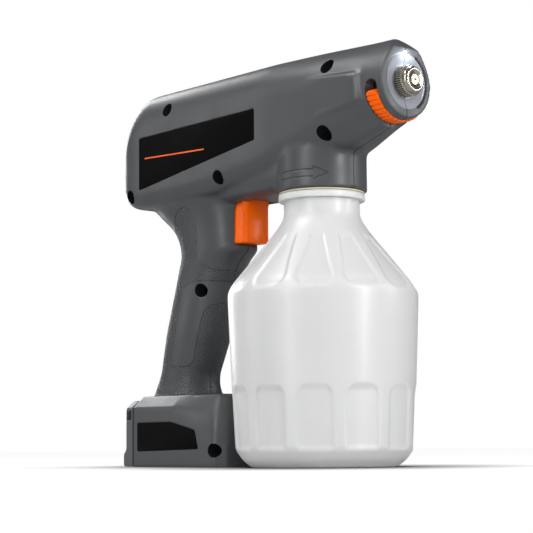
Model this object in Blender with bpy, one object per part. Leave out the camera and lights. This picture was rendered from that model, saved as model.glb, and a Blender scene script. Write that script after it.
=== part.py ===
"""Cordless hand-held electrostatic sprayer with a screw-on one-litre tank.

Metres. +X points towards the nozzle, +Y to the gun's left and +Z up. The origin
is the centre of the tank's foot, on the surface that tank and base stand on.
"""
import math

import bmesh
import bpy
from mathutils import Matrix, Vector

# Gaps between separate pieces
FIT = 0.0003
RUNNING = 0.0004
PARTING = 0.0003
MERGE = 1e-6
FLAT_ANGLE = math.radians(1.0)

# Tank: foot, body, shoulder, neck and screw finish
TANK_WALL = 0.0016
TANK_FOOT_RADIUS = 0.0398
TANK_LOW_RADIUS = 0.0492
TANK_HIGH_RADIUS = 0.0530
TANK_FOOT_HEIGHT = 0.0100
TANK_SHOULDER_Z = 0.0960
TANK_CONE_TOP_Z = 0.1330
TANK_NECK_Z = 0.1390
TANK_NECK_RADIUS = 0.0212
TANK_FLANGE_RADIUS = 0.0242
TANK_FLANGE_THICKNESS = 0.0036
TANK_FINISH_RADIUS = 0.0192
TANK_FINISH_HEIGHT = 0.0195
TANK_SEGMENTS = 48
PANEL_COUNT = 12
PANEL_AZIMUTH = math.radians(10.0)
PANEL_DEPTH = 0.0014
FLUTE_DEPTH = 0.0012
RECESS_TOP_Z = 0.0450

# Screw thread between tank and socket
THREAD_PITCH = 0.0045
THREAD_TURNS = 1.5
THREAD_HEIGHT = 0.0013
THREAD_HALF_WIDTH = 0.0013
THREAD_STEPS_PER_PITCH = 4
THREAD_CLEARANCE = 0.0004

# Collar, socket and gasket
COLLAR_BOTTOM_Z = 0.1525
COLLAR_RADIUS = 0.0255
COLLAR_TOP_Z = COLLAR_BOTTOM_Z + 0.0325
COLLAR_WALL = 0.0025
SOCKET_ROOF = 0.0035
GASKET_THICKNESS = 0.0009
COLLAR_SEGMENTS = 48

# Barrel
WALL = 0.0025
REAR_X = -0.1500
REAR_ROUND_RUN = 0.0240
REAR_ROUND_DROP = 0.0310
BARREL_LIFT = 0.0040
BARREL_HEIGHT = 0.0725
BARREL_BOTTOM_Z = COLLAR_BOTTOM_Z + BARREL_LIFT
BARREL_TOP_Z = BARREL_BOTTOM_Z + BARREL_HEIGHT
BARREL_HALF_WIDTH = 0.0287
BARREL_FRONT_HALF_WIDTH = 0.0275
CAVITY_FRONT_X = 0.0400
BELLY_DROP = 0.0035
BELLY_CENTRE_Z = BARREL_BOTTOM_Z + 0.0135
BELLY_HALF_WIDTH = 0.0200
REAR_RIB_RADIUS = 0.0022
REAR_RIB_COUNT = 4
REAR_RIB_PITCH = 0.0085
REAR_RIB_HALF_LENGTH = 0.0150
REAR_RIBS_Z = BARREL_BOTTOM_Z + 0.0250

# Nose, flow ring and nozzle, all round one axis along X
NOZZLE_Z = BARREL_TOP_Z - 0.0240
NOSE_X = 0.0657
NOSE_RADIUS = 0.0192
HOOD_RISE = 0.0245
HOOD_SLOPE_X = 0.0575
HOOD_SLOPE_RISE = 0.0180
RIM_LENGTH = 0.0037
RING_SLOT_LENGTH = 0.0082
RING_SLOT_FLOOR = 0.0128
RING_SLOT_REACH = 0.0300
FLOW_RING_RADIUS = 0.0197
FLOW_RING_RIDGE = 0.0009
FLOW_RING_HALF_ANGLE = math.radians(72.0)
FLOW_RING_RIDGES = 18
DISH_RADIUS = 0.0148
DISH_DEPTH = 0.0018
MANIFOLD_RADIUS = 0.0080
SPIGOT_RADIUS = 0.0061
SPIGOT_LENGTH = 0.0044
CAP_RADIUS = 0.0085
CAP_KNURL_LENGTH = 0.0050
CAP_RIDGES = 20
LAMP_RADIUS = 0.0015
LAMP_REAR_X = 0.0572
LAMP_Z = NOZZLE_Z + 0.0155
BARB_RADIUS = 0.0030
HOSE_WALL = 0.0021
ELECTRODE_X = 0.0355
ELECTRODE_LENGTH = 0.0025
ELECTRODE_WALL = 0.0032

# Handle, trigger
HANDLE_WALL = 0.0034
GRIP_THICKNESS = 0.0016
HANDLE_BOTTOM_Z = 0.0398
HANDLE_TOP_Z = 0.1700
HANDLE_FLOOR_Z = 0.0500
HANDLE_HOLLOW_TOP_Z = 0.1640
TRIGGER_FRONT_X = -0.0553
TRIGGER_REAR_X = -0.0720
TRIGGER_BOTTOM_Z = 0.1295
TRIGGER_TOP_Z = 0.1541
TRIGGER_HALF_WIDTH = 0.0084
TRIGGER_DISH = 0.0032
TRIGGER_SLOT_REAR_X = -0.0865
BACKSTOP_X = -0.0985
RIB_THICKNESS = 0.0020

# Battery base
BASE_FRONT_X = -0.0540
BASE_SEAM_X = -0.1335
BASE_REAR_X = -0.1410
BASE_HALF_WIDTH = 0.0300
BASE_HEIGHT = 0.0420
BASE_SIDE_Z = 0.0350
BASE_SIDE_FRONT_Z = 0.0260
BASE_BEVEL = 0.0075
BASE_CHAMFER = 0.0095
BASE_WALL = 0.0028
BASE_LIP = 0.0024
BASE_LIP_HEIGHT = 0.0080
PACK_FRONT_X = -0.0655
PACK_HALF_WIDTH = BASE_HALF_WIDTH - BASE_WALL
PACK_HEIGHT = 0.0390
PACK_WALL = 0.0010
PACK_SIDE_WALL = 0.0030
PACK_FRONT_WALL = 0.0020
RAIL_DEPTH = 0.0015
RAIL_LOW_Z = 0.0180
RAIL_HIGH_Z = 0.0205
CELL_RADIUS = 0.0090
CELL_LENGTH = 0.0650
CELL_NUB_RADIUS = 0.0032
CELL_NUB_LENGTH = 0.0015
CELL_GAP = 0.0005
PACK_DIVIDER = 2.0 * (PACK_HALF_WIDTH - PACK_SIDE_WALL) - 4.0 * (CELL_RADIUS + CELL_GAP)
TERMINALS_LOW = (-0.1240, -0.0040, PACK_HEIGHT - 0.0006)
TERMINALS_HIGH = (-0.1060, 0.0040, PACK_HEIGHT)
CONTACT_BAY_LOW = (-0.1263, -0.0088, PACK_HEIGHT)
CONTACT_BAY_HIGH = (-0.1037, 0.0088, 0.0520)
LID_ROUND = 0.0020
LID_SHOULDER = 0.0020
LATCH_LOW = (-0.1388, BASE_HALF_WIDTH - 0.0060, 0.0285)
LATCH_HIGH = (-0.1352, BASE_HALF_WIDTH + 0.0006, 0.0335)
LATCH_SPRING_ROOM = 0.0060
LATCH_SPRING_RADIUS = 0.0012
LATCH_SPRING_WIRE = 0.0003
LATCH_SPRING_TURNS = 4
SIDES = (-1.0, 1.0)

# Ribs across the inside of the housing: (x, lowest z, highest z)
RIB_LOW_Z = BARREL_BOTTOM_Z + 0.0035
RIB_OVER_HANDLE_Z = BARREL_BOTTOM_Z + 0.0135
HOUSING_RIBS = (
    (-0.1150, RIB_OVER_HANDLE_Z, BARREL_TOP_Z - 0.0290), (-0.0925, RIB_OVER_HANDLE_Z, BARREL_TOP_Z),
    (-0.0605, BARREL_TOP_Z - 0.0305, BARREL_TOP_Z), (-0.0390, RIB_LOW_Z, BARREL_TOP_Z),
    (-0.0240, RIB_LOW_Z, BARREL_TOP_Z), (-0.0080, RIB_LOW_Z, BARREL_TOP_Z),
    (0.0090, RIB_LOW_Z, BARREL_TOP_Z), (0.0340, RIB_LOW_Z, BARREL_TOP_Z),
)

# Screws: (x, z) of each, all along Y
SCREW_PLACES = (
    (-0.1039, BARREL_TOP_Z - 0.0162), (-0.1390, BARREL_BOTTOM_Z + 0.0075), (-0.0578, BARREL_BOTTOM_Z + 0.0096),
    (0.0254, BARREL_TOP_Z - 0.0116), (0.0237, COLLAR_BOTTOM_Z + 0.0281), (-0.0877, 0.1035), (-0.0600, 0.0095),
)
SCREW_RECESS_RADIUS = 0.0040
SCREW_BOSS_RADIUS = 0.0052
SCREW_HEAD_RADIUS = 0.0033
SCREW_HEAD_HEIGHT = 0.0024
SCREW_SHANK_RADIUS = 0.0014
SCREW_SEAT_Y = -0.0065
SCREW_TIP_Y = 0.0085

# Pump, electrics
PUMP_HALF_LENGTH = 0.0140
PUMP_HALF_WIDTH = 0.0140
PUMP_HEIGHT = 0.0300
PUMP_TOP_Z = BARREL_TOP_Z - 0.0150
PUMP_BOTTOM_Z = PUMP_TOP_Z - PUMP_HEIGHT
MOTOR_RADIUS = 0.0125
MOTOR_LENGTH = 0.0375
MOTOR_Z = PUMP_BOTTOM_Z + PUMP_HEIGHT / 2.0
MODULE_LOW = (-0.0965, -0.0150, BARREL_TOP_Z - 0.0290)
MODULE_HIGH = (-0.0565, 0.0150, BARREL_TOP_Z - 0.0070)
BOARD_LOW = (-0.1280, -0.0190, BARREL_TOP_Z - 0.0430)
BOARD_HIGH = (-0.0640, 0.0190, BARREL_TOP_Z - 0.0414)
BOARD_PART_HEIGHT = 0.0092

# Parts on the board: (x, y, half width, height)
BOARD_PARTS = (
    (-0.1200, -0.0110, 0.0040, 0.0090), (-0.1200, 0.0080, 0.0050, 0.0070),
    (-0.1080, 0.0000, 0.0045, 0.0060), (-0.0780, 0.0100, 0.0040, 0.0040),
)
SWITCH_LOW = (-0.0982, -0.0065, 0.1305)
SWITCH_HIGH = (-0.0835, 0.0065, 0.1425)
PLUNGER_RADIUS = 0.0015
PLUNGER_Z = 0.1365
SPRING_Z = 0.1480
SPRING_RADIUS = 0.0028
SPRING_WIRE = 0.0004
SPRING_TURNS = 8
COIL_STEPS = 8
LEAD_RADIUS = 0.0013
THIN_LEAD_RADIUS = 0.0008
CHANNEL_Z = BARREL_TOP_Z - 0.0045
CHANNEL_REAR_X = -0.0500
LEAD_OFFSET_Y = 0.0022
CHANNEL_HALF = 0.0023
TUBE_RADIUS = 0.0030
TUBE_BORE = 0.0019
TUBE_BOTTOM_Z = 0.0120
STRAINER_RADIUS = 0.0062
STRAINER_GROOVE = 0.0008
STRAINER_PITCH = 0.0055

# Labels
LABEL_THICKNESS = 0.0005
LABEL_POCKET = 0.0008
SIDE_LABEL = (
    (-0.1290, BARREL_BOTTOM_Z + 0.0105), (-0.1290, BARREL_TOP_Z - 0.0305),
    (-0.0260, BARREL_TOP_Z - 0.0280), (-0.0260, BARREL_BOTTOM_Z + 0.0270),
)
BASE_LABEL = ((-0.1290, 0.0093), (-0.1290, 0.0260), (-0.0980, 0.0262), (-0.0760, 0.0212), (-0.0730, 0.0105))

# Soft grip: its outline on the side of the handle, and the bare panel inside it
GRIP_OUTLINE = (
    (-0.1300, 0.1410), (-0.1100, 0.1415), (-0.1070, 0.1480), (-0.1015, 0.1525), (-0.0965, 0.1535),
    (-0.0915, 0.1515), (-0.0880, 0.1465), (-0.0880, 0.1300), (-0.0890, 0.1230), (-0.0850, 0.1180),
    (-0.0780, 0.1150), (-0.0500, 0.1120), (-0.0500, 0.0900), (-0.0800, 0.0890), (-0.0935, 0.0560),
    (-0.0960, 0.0480), (-0.1500, 0.0480), (-0.1500, 0.1200),
)
PANEL_OUTLINE = (
    (-0.0500, 0.1075), (-0.0740, 0.1085), (-0.0900, 0.1095), (-0.1000, 0.1075), (-0.1042, 0.1040),
    (-0.1048, 0.0990), (-0.1155, 0.0600), (-0.1015, 0.0590), (-0.0980, 0.0620), (-0.0880, 0.0900),
    (-0.0840, 0.0945), (-0.0780, 0.0962), (-0.0500, 0.0966),
)

# Sizes that change along the barrel: (x, value) pairs, straight between them
BARREL_LOW = (
    (-0.1260, BARREL_BOTTOM_Z), (-0.0700, BARREL_BOTTOM_Z + 0.0010), (-0.0240, BARREL_BOTTOM_Z + 0.0065),
    (COLLAR_RADIUS, BARREL_BOTTOM_Z + 0.0160), (NOSE_X, NOZZLE_Z - NOSE_RADIUS),
)
BARREL_HALF = (
    (-0.1260, BARREL_HALF_WIDTH), (-0.0200, BARREL_FRONT_HALF_WIDTH), (0.0150, 0.0246),
    (0.0480, 0.0202), (NOSE_X, NOSE_RADIUS),
)
BARREL_LOW_ROUND = (
    (-0.1260, 0.0095), (-0.0200, 0.0120), (0.0200, 0.0160), (0.0480, 0.0190), (NOSE_X, NOSE_RADIUS),
)
BARREL_HIGH_ROUND = ((-0.1260, 0.0200), (-0.0200, 0.0205), (0.0480, 0.0200), (NOSE_X, NOSE_RADIUS))
BARREL_POWER = ((-0.0200, 2.1), (0.0480, 1.65), (NOSE_X, 1.55))
BARREL_STEPS = (-0.1000, -0.0600, -0.0200, 0.0000, 0.0150, 0.0320, 0.0480, 0.0570)
BAND_OUTLINE = (
    (-0.0500, NOZZLE_Z - 0.0120), (-0.0400, NOZZLE_Z + 0.0080), (0.0200, NOZZLE_Z + 0.0075),
    (0.0495, NOZZLE_Z + 0.0055), (0.0510, NOZZLE_Z - 0.0115), (0.0200, NOZZLE_Z - 0.0180),
    (-0.0200, NOZZLE_Z - 0.0200),
)
BAND_HALF_WIDTH = 0.0218
BAND_TAPER_X = -0.0200

# Sizes that change up the handle: (z, value) pairs
HANDLE_BACK = (
    (0.0398, -0.1400), (0.0480, -0.1372), (0.0550, -0.1340), (0.0790, -0.1283), (0.1080, -0.1190),
    (0.1240, -0.1145), (0.1330, -0.1155), (0.1420, -0.1210), (0.1500, -0.1315), (0.1580, -0.1410),
    (0.1700, -0.1450),
)
HANDLE_FRONT = (
    (0.0398, -0.0940), (0.0480, -0.0965), (0.0550, -0.0960), (0.0790, -0.0853), (0.1080, -0.0760),
    (0.1180, -0.0715), (0.1240, -0.0655), (0.1265, -0.0605), (0.1290, -0.0620), (0.1550, -0.0610),
    (0.1700, -0.0580),
)
HANDLE_HALF = (
    (0.0398, 0.0190), (0.0480, 0.0160), (0.0550, 0.0152), (0.0790, 0.0165), (0.1240, 0.0165),
    (0.1420, 0.0180), (0.1580, 0.0220), (0.1700, 0.0260),
)
HANDLE_LEVELS = (
    HANDLE_BOTTOM_Z, 0.0440, 0.0480, 0.0550, 0.0670, 0.0790, 0.0940, 0.1080, 0.1180, 0.1240,
    0.1265, 0.1290, 0.1360, 0.1420, 0.1500, 0.1580, HANDLE_TOP_Z,
)
HANDLE_POWER = 2.4
HANDLE_SEGMENTS = 28

# Values that follow from the sizes above
FLANGE_Z = COLLAR_BOTTOM_Z - FIT - GASKET_THICKNESS - FIT
FINISH_TOP_Z = FLANGE_Z + TANK_FINISH_HEIGHT
SOCKET_RADIUS = COLLAR_RADIUS - COLLAR_WALL - FIT
SOCKET_BORE = TANK_FINISH_RADIUS + THREAD_HEIGHT + THREAD_CLEARANCE
SOCKET_ROOF_Z = FINISH_TOP_Z + FIT
SOCKET_TOP_Z = SOCKET_ROOF_Z + SOCKET_ROOF
THREAD_START_Z = FLANGE_Z + 0.0042
SLOT_REAR_X = NOSE_X - RIM_LENGTH - RING_SLOT_LENGTH
SLOT_FRONT_X = NOSE_X - RIM_LENGTH
DISH_FLOOR_X = NOSE_X - 0.0004 - DISH_DEPTH
CAP_REAR_X = DISH_FLOOR_X + FIT
SPIGOT_X = DISH_FLOOR_X
SPIGOT_FRONT_X = SPIGOT_X + SPIGOT_LENGTH
INSERT_FLANGE = 0.0012
CAP_ROOF_X = SPIGOT_FRONT_X + FIT + INSERT_FLANGE + FIT
CAP_FRONT_X = CAP_ROOF_X + 0.0028
HOSE_RADIUS = BARB_RADIUS + FIT + HOSE_WALL
SUCTION_GAP = PUMP_BOTTOM_Z - SOCKET_TOP_Z
PUMP_SUCTION_Z = PUMP_BOTTOM_Z - SUCTION_GAP * 0.36
TUBE_TOP_Z = SOCKET_TOP_Z + SUCTION_GAP * 0.36
PUMP_OUTLET_X = PUMP_HALF_LENGTH + 0.0045
MANIFOLD_REAR_X = 0.0310
MANIFOLD_BARB_X = MANIFOLD_REAR_X - 0.0045
MOTOR_FRONT_X = -PUMP_HALF_LENGTH - FIT
MOTOR_REAR_X = MOTOR_FRONT_X - MOTOR_LENGTH
TRIGGER_SPRING_REAR_X = BACKSTOP_X + FIT
AXES = {"X": Vector((1, 0, 0)), "Y": Vector((0, 1, 0)), "Z": Vector((0, 0, 1))}


def interpolate(pairs, place):
    """Value at a place along (place, value) pairs, held level past both ends."""
    if place <= pairs[0][0]:
        return pairs[0][1]
    for (low, first), (high, last) in zip(pairs, pairs[1:]):
        if place <= high:
            return first + (last - first) * (place - low) / (high - low)
    return pairs[-1][1]


def arc(centre_u, centre_v, radius_u, radius_v, start, end, steps, power=2.0):
    """Points of an elliptic arc, squarer or more pointed than an ellipse by its power."""
    points = []
    for step in range(steps + 1):
        angle = math.radians(start + (end - start) * step / steps)
        cos, sin = math.cos(angle), math.sin(angle)
        u = math.copysign(abs(cos) ** (2.0 / power), cos)
        v = math.copysign(abs(sin) ** (2.0 / power), sin)
        points.append((centre_u + radius_u * u, centre_v + radius_v * v))
    return points


def new_object(work, name):
    """Close a bmesh, turn its faces outwards and give it to a named object."""
    bmesh.ops.remove_doubles(work, verts=work.verts, dist=MERGE)
    bmesh.ops.recalc_face_normals(work, faces=work.faces)
    mesh = bpy.data.meshes.new(name)
    work.to_mesh(mesh)
    work.free()
    made = bpy.data.objects.new(name, mesh)
    bpy.context.scene.collection.objects.link(made)
    return made


def loft(name, rings, wrap=False):
    """Skin rings of equal count one after another; the ends are capped or joined."""
    work = bmesh.new()
    loops = [[work.verts.new(point) for point in ring] for ring in rings]
    pairs = list(zip(loops, loops[1:]))
    if wrap:
        pairs.append((loops[-1], loops[0]))
    for low, high in pairs:
        for index in range(len(low)):
            after = (index + 1) % len(low)
            work.faces.new((low[index], low[after], high[after], high[index]))
    if not wrap:
        work.faces.new(loops[0])
        work.faces.new(loops[-1])
    return new_object(work, name)


def turned(name, profile, axis="Z", centre=(0.0, 0.0, 0.0), segments=32, ridge=0.0, ridged=()):
    """Turn (radius, along) points round an axis. Points in ridged move in and out in turn."""
    along = AXES[axis]
    across = AXES["Y" if axis != "Y" else "Z"]
    third = along.cross(across)
    rings = []
    for index, (radius, height) in enumerate(profile):
        ring = []
        for step in range(segments):
            angle = 2.0 * math.pi * step / segments
            reach = radius - (ridge if index in ridged and step % 2 else 0.0)
            spot = across * math.cos(angle) * reach + third * math.sin(angle) * reach
            ring.append(Vector(centre) + spot + along * height)
        rings.append(ring)
    return loft(name, rings, wrap=profile[0][0] > 0.0 and profile[-1][0] > 0.0)


def rod(name, radius, axis, centre, low, high, segments=20):
    """A solid round bar along an axis."""
    return turned(name, [(0.0, low), (radius, low), (radius, high), (0.0, high)], axis, centre, segments)


def pipe(name, radius, bore, axis, centre, low, high, segments=20):
    """A hollow round bar along an axis."""
    profile = [(radius, low), (radius, high), (bore, high), (bore, low)]
    return turned(name, profile, axis, centre, segments)


def box(name, low, high):
    """A box between two corners."""
    ring = [(low[0], low[1]), (high[0], low[1]), (high[0], high[1]), (low[0], high[1])]
    return loft(name, [[(x, y, low[2]) for x, y in ring], [(x, y, high[2]) for x, y in ring]])


def two_sided(name, low, high, side):
    """A box given for the left side, or mirrored to the right when side is negative."""
    ends = sorted((side * low[1], side * high[1]))
    return box(name, (low[0], ends[0], low[2]), (high[0], ends[1], high[2]))


def side_plate(name, outline, low, high):
    """An (x, z) outline given a thickness along Y."""
    return loft(name, [[(x, low, z) for x, z in outline], [(x, high, z) for x, z in outline]])


def cross_plate(name, outline, low, high):
    """A (y, z) outline given a thickness along X."""
    return loft(name, [[(low, y, z) for y, z in outline], [(high, y, z) for y, z in outline]])


def grown(outline, margin):
    """An outline with each side moved outwards by a margin, corners kept sharp."""
    count = len(outline)
    area = sum(outline[i][0] * outline[(i + 1) % count][1] - outline[(i + 1) % count][0] * outline[i][1]
               for i in range(count))
    turn = 1.0 if area > 0.0 else -1.0
    result = []
    for index in range(count):
        here = Vector(outline[index])
        before = (here - Vector(outline[index - 1])).normalized()
        after = (Vector(outline[(index + 1) % count]) - here).normalized()
        normal_before = Vector((before.y, -before.x)) * turn
        normal_after = Vector((after.y, -after.x)) * turn
        bisector = (normal_before + normal_after).normalized()
        result.append(tuple(here + bisector * (margin / bisector.dot(normal_after))))
    return result


def settle(made):
    """Replace an object's mesh by what its modifiers make of it."""
    graph = bpy.context.evaluated_depsgraph_get()
    mesh = bpy.data.meshes.new_from_object(made.evaluated_get(graph))
    made.modifiers.clear()
    made.data = mesh
    mesh.materials.clear()
    return made


def flat_faced(made):
    """Split an object's faces into triangles, so that each one is flat."""
    work = bmesh.new()
    work.from_mesh(made.data)
    bmesh.ops.triangulate(work, faces=work.faces)
    work.to_mesh(made.data)
    work.free()


def plain_faced(made, angle=FLAT_ANGLE):
    """Join the triangles that a cut leaves on what is really one flat face."""
    work = bmesh.new()
    work.from_mesh(made.data)
    bmesh.ops.remove_doubles(work, verts=work.verts, dist=MERGE)
    bmesh.ops.dissolve_limit(work, angle_limit=angle, verts=work.verts, edges=work.edges)
    bmesh.ops.triangulate(work, faces=work.faces)
    work.to_mesh(made.data)
    work.free()


def combine(made, tools, operation, solver="EXACT"):
    """Join, cut or intersect an object with others, all in one step."""
    group = bpy.data.collections.new("tools")
    bpy.context.scene.collection.children.link(group)
    for tool in tools:
        flat_faced(tool)
        group.objects.link(tool)
    flat_faced(made)
    cut = made.modifiers.new("join", "BOOLEAN")
    cut.operation = operation
    cut.solver = solver
    cut.operand_type = "COLLECTION"
    cut.collection = group
    settle(made)
    for tool in tools:
        bpy.data.objects.remove(tool)
    bpy.data.collections.remove(group)
    return made


def bevelled(made, width, segments=2, angle=math.radians(35.0)):
    """Round an object's sharp edges."""
    edge = made.modifiers.new("edges", "BEVEL")
    edge.width = width
    edge.segments = segments
    edge.limit_method = "ANGLE"
    edge.angle_limit = angle
    return settle(made)


def copied(made, name):
    """A second object with its own copy of a mesh."""
    twin = bpy.data.objects.new(name, made.data.copy())
    bpy.context.scene.collection.objects.link(twin)
    return twin


def smooth_route(points, steps=4):
    """A smooth curve through a lead's route points."""
    spots = [Vector(point) for point in points]
    padded = [spots[0] * 2.0 - spots[1]] + spots + [spots[-1] * 2.0 - spots[-2]]
    route = []
    for index in range(1, len(padded) - 2):
        before, start, end, after = padded[index - 1:index + 3]
        for step in range(steps):
            t = step / steps
            route.append(0.5 * (2.0 * start + (end - before) * t
                                + (2.0 * before - 5.0 * start + 4.0 * end - after) * t * t
                                + (3.0 * start - before - 3.0 * end + after) * t ** 3))
    return route + [spots[-1]]


def wire(name, points, radius, resolution=2):
    """A round wire or lead along a line of points, with closed ends."""
    curve = bpy.data.curves.new(name, "CURVE")
    curve.dimensions = "3D"
    curve.bevel_depth = radius
    curve.bevel_resolution = resolution
    curve.use_fill_caps = True
    spline = curve.splines.new("POLY")
    spline.points.add(len(points) - 1)
    for place, point in zip(spline.points, points):
        place.co = (*point, 1.0)
    made = bpy.data.objects.new(name, curve)
    bpy.context.scene.collection.objects.link(made)
    return made


def coil(name, axis, centre, low, high, radius, wire_radius, turns):
    """A compression spring along an axis."""
    along, across = AXES[axis], AXES["Z" if axis != "Z" else "X"]
    third = along.cross(across)
    count = int(turns * COIL_STEPS)
    points = []
    for index in range(count + 1):
        share = index / count
        angle = 2.0 * math.pi * turns * share
        spot = across * math.cos(angle) * radius + third * math.sin(angle) * radius
        points.append(Vector(centre) + spot + along * (low + (high - low) * share))
    return wire(name, points, wire_radius, resolution=1)


# ---------------------------------------------------------------- tank


def panel_share(angle):
    """1 on the middle of a pressed-in panel, 0 between two panels."""
    period = 2.0 * math.pi / PANEL_COUNT
    offset = abs((angle - PANEL_AZIMUTH + period / 2.0) % period - period / 2.0)
    return min(1.0, max(0.0, (0.5 - offset / period) / 0.25))


def thread_rise(angle, height, shift):
    """How far the screw thread stands out at a place, from 0 to 1."""
    best = 0.0
    turn = (angle / (2.0 * math.pi)) % 1.0
    for whole in range(math.ceil(THREAD_TURNS)):
        wound = turn + whole
        ends = min(wound, THREAD_TURNS - wound) * 6.0
        away = abs(height - (THREAD_START_Z + shift + THREAD_PITCH * wound))
        best = max(best, min(1.0, max(0.0, ends)) * max(0.0, 1.0 - away / THREAD_HALF_WIDTH))
    return best


def thread_heights(shift):
    """Levels over the thread that are close enough together to carry it."""
    low = THREAD_START_Z + shift - THREAD_HALF_WIDTH
    reach = THREAD_PITCH * THREAD_TURNS + 2.0 * THREAD_HALF_WIDTH
    count = math.ceil(reach * THREAD_STEPS_PER_PITCH / THREAD_PITCH)
    return [low + reach * step / count for step in range(count + 1)]


def tank_body_profile():
    """(height, radius, panel share, flute share) from the foot up to the neck."""
    top = TANK_NECK_RADIUS + 0.0033
    slope = (TANK_HIGH_RADIUS - 0.0013 - top) / (TANK_CONE_TOP_Z - TANK_SHOULDER_Z - 0.0040)

    def cone(height):
        return top + slope * (TANK_CONE_TOP_Z - height)

    lift = TANK_FOOT_HEIGHT
    return [
        (0.0, TANK_FOOT_RADIUS, 0.0, 0.0),
        (lift * 0.45, TANK_FOOT_RADIUS + 0.0057, 0.0, 0.0),
        (lift, TANK_LOW_RADIUS, 0.0, 0.0),
        (lift + 0.0025, TANK_LOW_RADIUS + 0.0002, 1.0, 0.0),
        (RECESS_TOP_Z - 0.0035, TANK_LOW_RADIUS + 0.0016, 1.0, 0.0),
        (RECESS_TOP_Z, TANK_LOW_RADIUS + 0.0018, 0.0, 0.0),
        (TANK_SHOULDER_Z - 0.0040, TANK_HIGH_RADIUS, 0.0, 0.0),
        (TANK_SHOULDER_Z + 0.0010, TANK_HIGH_RADIUS - 0.0004, 0.0, 0.0),
        (TANK_SHOULDER_Z + 0.0040, TANK_HIGH_RADIUS - 0.0017, 0.0, 0.0),
        (TANK_SHOULDER_Z + 0.0075, cone(TANK_SHOULDER_Z + 0.0075), 0.0, 1.0),
        (TANK_CONE_TOP_Z - 0.0080, cone(TANK_CONE_TOP_Z - 0.0080), 0.0, 0.8),
        (TANK_CONE_TOP_Z - 0.0030, cone(TANK_CONE_TOP_Z - 0.0030), 0.0, 0.0),
        (TANK_CONE_TOP_Z + 0.0020, TANK_NECK_RADIUS + 0.0018, 0.0, 0.0),
        (TANK_NECK_Z, TANK_NECK_RADIUS, 0.0, 0.0),
    ]


def tank_ring(height, radius, panel, flute, inset):
    """One level of the tank's wall with its pressed-in panels and flutes."""
    ring = []
    for index in range(TANK_SEGMENTS):
        angle = PANEL_AZIMUTH + 2.0 * math.pi * index / TANK_SEGMENTS
        reach = radius - inset - panel_share(angle) * (panel * PANEL_DEPTH + flute * FLUTE_DEPTH)
        ring.append((reach * math.cos(angle), reach * math.sin(angle), height))
    return ring


def threaded_ring(radius, height, sense, shift):
    """One level of a screw finish, with the thread standing out (+1) or in (-1)."""
    ring = []
    for index in range(TANK_SEGMENTS):
        angle = PANEL_AZIMUTH + 2.0 * math.pi * index / TANK_SEGMENTS
        reach = radius + sense * THREAD_HEIGHT * thread_rise(angle, height, shift)
        ring.append((reach * math.cos(angle), reach * math.sin(angle), height))
    return ring


def make_tank():
    """The blown one-litre tank, open at the top, with its screw finish."""
    body = tank_body_profile()
    rings = [tank_ring(z, radius, panel, flute, 0.0) for z, radius, panel, flute in body]
    flange_low = FLANGE_Z - TANK_FLANGE_THICKNESS
    for radius, z in ((TANK_NECK_RADIUS, flange_low), (TANK_FLANGE_RADIUS, flange_low + 0.0003),
                      (TANK_FLANGE_RADIUS, FLANGE_Z), (TANK_FINISH_RADIUS, FLANGE_Z)):
        rings.append(tank_ring(z, radius, 0.0, 0.0, 0.0))
    for z in thread_heights(0.0):
        rings.append(threaded_ring(TANK_FINISH_RADIUS, z, 1.0, 0.0))
    rings.append(tank_ring(FINISH_TOP_Z, TANK_FINISH_RADIUS, 0.0, 0.0, 0.0))
    rings.append(tank_ring(FINISH_TOP_Z, TANK_FINISH_RADIUS, 0.0, 0.0, TANK_WALL))
    rings.append(tank_ring(FLANGE_Z, TANK_FINISH_RADIUS, 0.0, 0.0, TANK_WALL))
    for z, radius, panel, flute in reversed(body[1:]):
        rings.append(tank_ring(max(z, TANK_WALL * 1.6), radius, panel, flute, TANK_WALL))
    rings.append(tank_ring(TANK_WALL * 1.3, TANK_FOOT_RADIUS, 0.0, 0.0, TANK_WALL))
    return loft("tank", rings)


def make_socket():
    """The threaded insert that fills the collar and holds the pickup tube."""
    bottom = COLLAR_BOTTOM_Z + FIT
    hole = TUBE_RADIUS + FIT
    rings = [tank_ring(z, radius, 0.0, 0.0, 0.0) for radius, z in (
        (SOCKET_BORE, bottom), (SOCKET_RADIUS, bottom), (SOCKET_RADIUS, SOCKET_TOP_Z),
        (hole, SOCKET_TOP_Z), (hole, SOCKET_ROOF_Z), (SOCKET_BORE, SOCKET_ROOF_Z))]
    shift = THREAD_PITCH / 2.0
    for z in reversed(thread_heights(shift)):
        rings.append(threaded_ring(SOCKET_BORE, z, -1.0, shift))
    return loft("tank_socket", rings, wrap=True)


def make_tank_fittings():
    """Gasket, pickup tube and strainer, all on the tank's axis."""
    gasket_z = FLANGE_Z + FIT
    pipe("tank_gasket", TANK_FLANGE_RADIUS - 0.0002, TANK_FINISH_RADIUS + THREAD_HEIGHT + FIT,
         "Z", (0, 0, 0), gasket_z, gasket_z + GASKET_THICKNESS, COLLAR_SEGMENTS)
    pipe("pickup_tube", TUBE_RADIUS, TUBE_BORE, "Z", (0, 0, 0), TUBE_BOTTOM_Z, TUBE_TOP_Z, 12)
    grip, body, foot = TUBE_RADIUS + FIT, STRAINER_RADIUS, TUBE_BOTTOM_Z - 0.0060
    profile = [(TUBE_BORE, foot), (body, foot)]
    for index in range(2):
        low = foot + 0.0015 + STRAINER_PITCH * index
        waist = body - STRAINER_GROOVE
        profile += [(body, low), (waist, low + 0.0005), (waist, low + 0.0025), (body, low + 0.0030)]
    top = foot + 0.0170
    profile += [(body, top - 0.0050), (grip + 0.0010, top), (grip, top),
                (grip, TUBE_BOTTOM_Z - FIT), (TUBE_BORE, TUBE_BOTTOM_Z - FIT)]
    turned("pickup_strainer", profile, segments=16)


# ---------------------------------------------------------------- housing


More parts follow.
